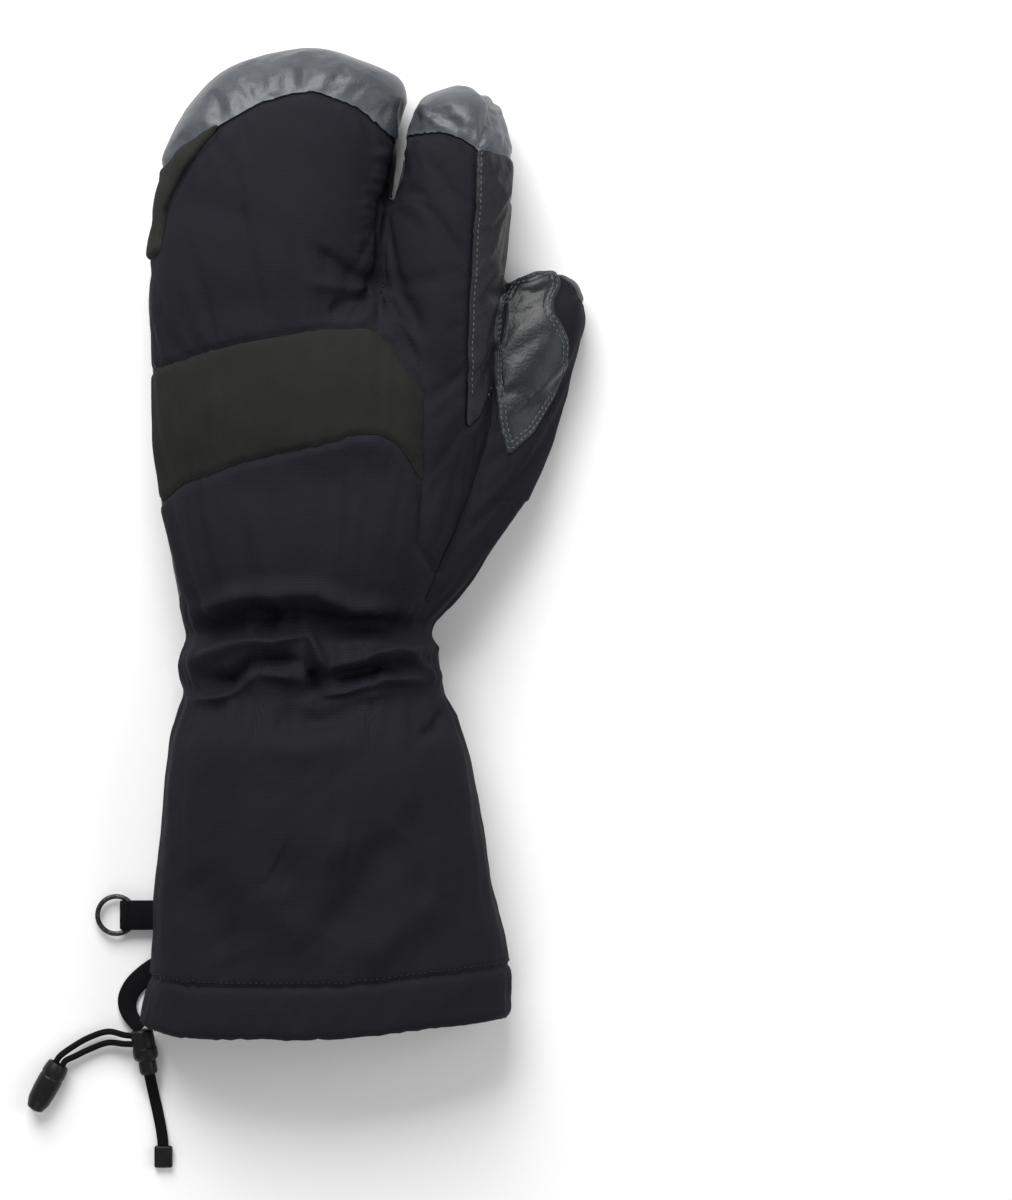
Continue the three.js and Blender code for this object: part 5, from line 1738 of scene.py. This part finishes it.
def stitch_tree():
    """Threads set along lines: short ones, evenly apart, lying on the cloth with their ends sunk."""
    tree = bpy.data.node_groups.new("thread_row", "GeometryNodeTree")
    for name, kind, start in (
        ("Lines", "NodeSocketGeometry", None),
        ("Pitch", "NodeSocketFloat", 3 * MM),
        ("Length", "NodeSocketFloat", 2.2 * MM),
        ("Width", "NodeSocketFloat", 0.5 * MM),
        ("Wander", "NodeSocketFloat", 0.1),
        ("Seed", "NodeSocketInt", 4),
        ("Thread", "NodeSocketMaterial", None),
    ):
        socket = tree.interface.new_socket(name, in_out="INPUT", socket_type=kind)
        if start is not None:
            socket.default_value = start
    tree.interface.new_socket("Stitches", in_out="OUTPUT", socket_type="NodeSocketGeometry")

    def node(kind, settings=(), **links):
        made = tree.nodes.new(kind)
        for name, value in dict(settings).items():
            setattr(made, name, value)
        for name, value in links.items():
            socket = made.inputs[name.replace("_", " ")]
            if isinstance(value, bpy.types.NodeSocket):
                tree.links.new(value, socket)
            else:
                socket.default_value = value
        return made

    given = node("NodeGroupInput").outputs
    curve = node("GeometryNodeMeshToCurve", Mesh=given["Lines"]).outputs[0]
    steps = node("GeometryNodeResampleCurve", {"mode": "LENGTH"}, Curve=curve, Length=given["Pitch"])
    thread = node("GeometryNodeMeshUVSphere", Segments=8, Rings=6, Radius=0.5).outputs[0]
    size = node("ShaderNodeCombineXYZ", X=given["Length"], Y=given["Width"], Z=given["Width"])
    shaped = node("GeometryNodeTransform", Geometry=thread, Scale=size.outputs[0]).outputs[0]
    tangent = node("GeometryNodeInputTangent").outputs[0]
    normal = node("GeometryNodeInputNamedAttribute", {"data_type": "FLOAT_VECTOR"}, Name="lift")
    along = node("FunctionNodeAlignRotationToVector", {"axis": "X"}, Vector=tangent)
    upright = node(
        "FunctionNodeAlignRotationToVector",
        {"axis": "Z", "pivot_axis": "X"},
        Rotation=along.outputs[0],
        Vector=normal.outputs[0],
    )
    turn = node("FunctionNodeRandomValue", {"data_type": "FLOAT"}, Seed=given["Seed"])
    tree.links.new(given["Wander"], turn.inputs[3])
    less = node("ShaderNodeMath", {"operation": "MULTIPLY"})
    tree.links.new(given["Wander"], less.inputs[0])
    less.inputs[1].default_value = -1
    tree.links.new(less.outputs[0], turn.inputs[2])
    askew = node("ShaderNodeCombineXYZ", Z=turn.outputs[1])
    local = node("FunctionNodeRotateRotation", {"rotation_space": "LOCAL"}, Rotation=upright.outputs[0])
    euler = node("FunctionNodeEulerToRotation", Euler=askew.outputs[0])
    tree.links.new(euler.outputs[0], local.inputs[1])
    placed = node(
        "GeometryNodeInstanceOnPoints",
        Points=steps.outputs[0],
        Instance=shaped,
        Rotation=local.outputs[0],
    )
    real = node("GeometryNodeRealizeInstances", Geometry=placed.outputs[0]).outputs[0]
    smooth = node("GeometryNodeSetShadeSmooth", Geometry=real).outputs[0]
    dyed = node("GeometryNodeSetMaterial", Geometry=smooth, Material=given["Thread"]).outputs[0]
    tree.links.new(dyed, node("NodeGroupOutput").inputs[0])
    return tree


def thread_finish(name, dark, light):
    """Twisted polyester thread, slightly glossy."""
    finish = Finish(name, Roughness=0.6, Specular_IOR_Level=0.15)
    twist = (finish.speckle(0.35 * MM, 2)).spread(0.3, 0.7)
    finish.feed("Base Color", finish.blend(twist, dark, light))
    finish.feed("Normal", finish.bump(twist, 0.03 * MM))
    return finish


thread_row = stitch_tree()
green_thread = thread_finish("grey_green_thread", (0.04, 0.05, 0.049), (0.1, 0.124, 0.121))
grey_thread = thread_finish("grey_thread", (0.03, 0.032, 0.036), (0.1, 0.105, 0.11))
black_thread = thread_finish("black_thread", (0.004, 0.004, 0.005), (0.016, 0.016, 0.019))


def evened(chain, rounds=5):
    """A chain without the small steps of the surface's triangles."""
    for _ in range(rounds):
        closed = np.allclose(chain[0], chain[-1])
        middle = (chain[:-2] + 2 * chain[1:-1] + chain[2:]) / 4
        ends = ((chain[-2] + 2 * chain[0] + chain[1]) / 4,) * 2 if closed else (chain[0], chain[-1])
        chain = np.concatenate([[ends[0]], middle, [ends[1]]])
    return chain


def flat_faces(piece):
    """Level faces are drawn flat, so that the rounded edges don't shade them."""
    for polygon in piece.data.polygons:
        polygon.use_smooth = max(abs(v) for v in polygon.normal) < 0.999


def stitched(name, chains, finish, pitch=2.1, length=1.55, width=0.55, raised=0.12, seed=1):
    """A piece that holds the stitches of some rows."""
    points, lifts, edges = [], [], []
    for places, normals in chains:
        if len(places) < 8:
            continue
        places = evened(places) + normals * raised * MM
        edges += [(len(points) + k, len(points) + k + 1) for k in range(len(places) - 1)]
        points += places.tolist()
        lifts += normals.tolist()
    mesh = bpy.data.meshes.new(name)
    mesh.from_pydata(points, edges, [])
    lift = mesh.attributes.new("lift", "FLOAT_VECTOR", "POINT")
    lift.data.foreach_set("vector", np.array(lifts, np.float32).ravel())
    piece = bpy.data.objects.new(name, mesh)
    bpy.context.collection.objects.link(piece)
    rows = piece.modifiers.new("rows", "NODES")
    rows.node_group = thread_row
    values = {"Pitch": pitch * MM, "Length": length * MM, "Width": width * MM}
    values.update({"Wander": 0.09, "Seed": seed, "Thread": finish.material})
    for item in thread_row.interface.items_tree:
        if item.item_type == "SOCKET" and item.in_out == "INPUT" and item.name in values:
            rows[item.identifier] = values[item.name]
    made = bpy.data.meshes.new_from_object(
        piece.evaluated_get(bpy.context.evaluated_depsgraph_get())
    )
    piece.modifiers.clear()
    piece.data = made
    made.name = name
    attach(piece, "root")


for seed, (node, (outer, faces, depth, rows)) in enumerate(patch_rows.items()):
    chains = [chain for row in rows for chain in level_lines(outer, faces, depth, row * MM)]
    if chains:
        stitched(node + "_stitches", chains, green_thread, seed=seed)


def seam_row(panel, others, inset, within=None):
    """Rows along a panel's edge where it meets some other panels."""
    outer, faces = outer_faces[panel]
    rim = np.unique(border_edges(faces))
    met = np.unique(np.concatenate([outer_faces[other][1].ravel() for other in others]))
    shared = np.intersect1d(rim, met)
    used = np.unique(faces)
    depth = np.full(len(outer), 1.0)
    depth[used] = distance_to_points(body_points[used], body_points[shared])
    chains = level_lines(outer, faces, depth, inset * MM)
    other_rim = np.setdiff1d(rim, shared)
    kept = []
    for places, normals in chains:
        clear = distance_to_points(places, body_points[other_rim]) > 0.7 * inset * MM
        if within is not None:
            clear &= within(places)
        runs = np.split(np.arange(len(places)), np.flatnonzero(np.diff(clear.astype(int))) + 1)
        kept += [(places[run], normals[run]) for run in runs if clear[run[0]] and len(run) > 8]
    return kept


STRIP_ROW_END = spot((0, 396))[1]
stitched(
    "index_side_stitches",
    seam_row("index_side", ("index_back",), 1.5, lambda places: places[:, 1] > STRIP_ROW_END),
    grey_thread,
)
stitched("hem_stitches", seam_row("gauntlet", ("hem",), 1.6), black_thread, width=0.6)
stitched(
    "gusset_stitches",
    seam_row("palm_gusset", ("palm", "index_palm"), 1.7),
    green_thread,
)
stitched("palm_stitches", seam_row("palm", ("palm_gusset",), 1.7), green_thread)
stitched(
    "index_palm_stitches", seam_row("index_palm", ("index_side",), 1.6), green_thread
)
stitched(
    "thumb_stitches",
    seam_row("thumb_gusset", ("thumb_body", "thumb_palm"), 1.6),
    green_thread,
)

# The hem's tab: a rubbery pull, folded under the palm side of the hem, with a plain raised bar.
BAR_WIDTH = 10.2 * MM
BAR_TALL = 2.4 * MM
tab_rubber = Finish("tab_rubber", IOR=1.5)
scuff = tab_rubber.speckle(5 * MM, 4, 0.6)
tab_rubber.feed("Base Color", tab_rubber.blend(scuff, (0.012, 0.012, 0.014), (0.03, 0.03, 0.033)))
tab_rubber.feed("Roughness", scuff.spread(0.3, 0.7, 0.38, 0.55))
tab_rubber.feed("Normal", tab_rubber.bump(tab_rubber.speckle(0.4 * MM), 0.03 * MM))
bar_green = Finish("bar_green", Roughness=0.5)
shade = bar_green.speckle(1 * MM, 3)
bar_green.feed("Base Color", bar_green.blend(shade, (0.06, 0.42, 0.05), (0.1, 0.6, 0.07)))
bar_green.feed("Normal", bar_green.bump(shade, 0.03 * MM))
tab = place_object(
    "hem_tab_pull",
    rounded_block("hem_tab_pull", TAB_LOW, TAB_HIGH, 0.45 * MM),
    tab_rubber.material,
)
bar_middle = (TAB_LOW[0] + TAB_HIGH[0]) / 2
bar = place_object(
    "tab_bar",
    rounded_block(
        "tab_bar",
        (bar_middle - BAR_WIDTH / 2, TAB_HIGH[1] - 3 * MM - BAR_TALL, 0.02 * MM),
        (bar_middle + BAR_WIDTH / 2, TAB_HIGH[1] - 3 * MM, 0.6 * MM),
        0.15 * MM,
        2,
    ),
    bar_green.material,
)
cut_out(
    tab,
    (bar_middle - BAR_WIDTH / 2 - 0.1 * MM, TAB_HIGH[1] - 3.1 * MM - BAR_TALL, -1 * MM),
    (bar_middle + BAR_WIDTH / 2 + 0.1 * MM, TAB_HIGH[1] - 2.9 * MM, 0.65 * MM),
)
flat_faces(tab)
flat_faces(bar)
for piece in (tab, bar):
    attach(piece, "root")
    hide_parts("hem_tab")
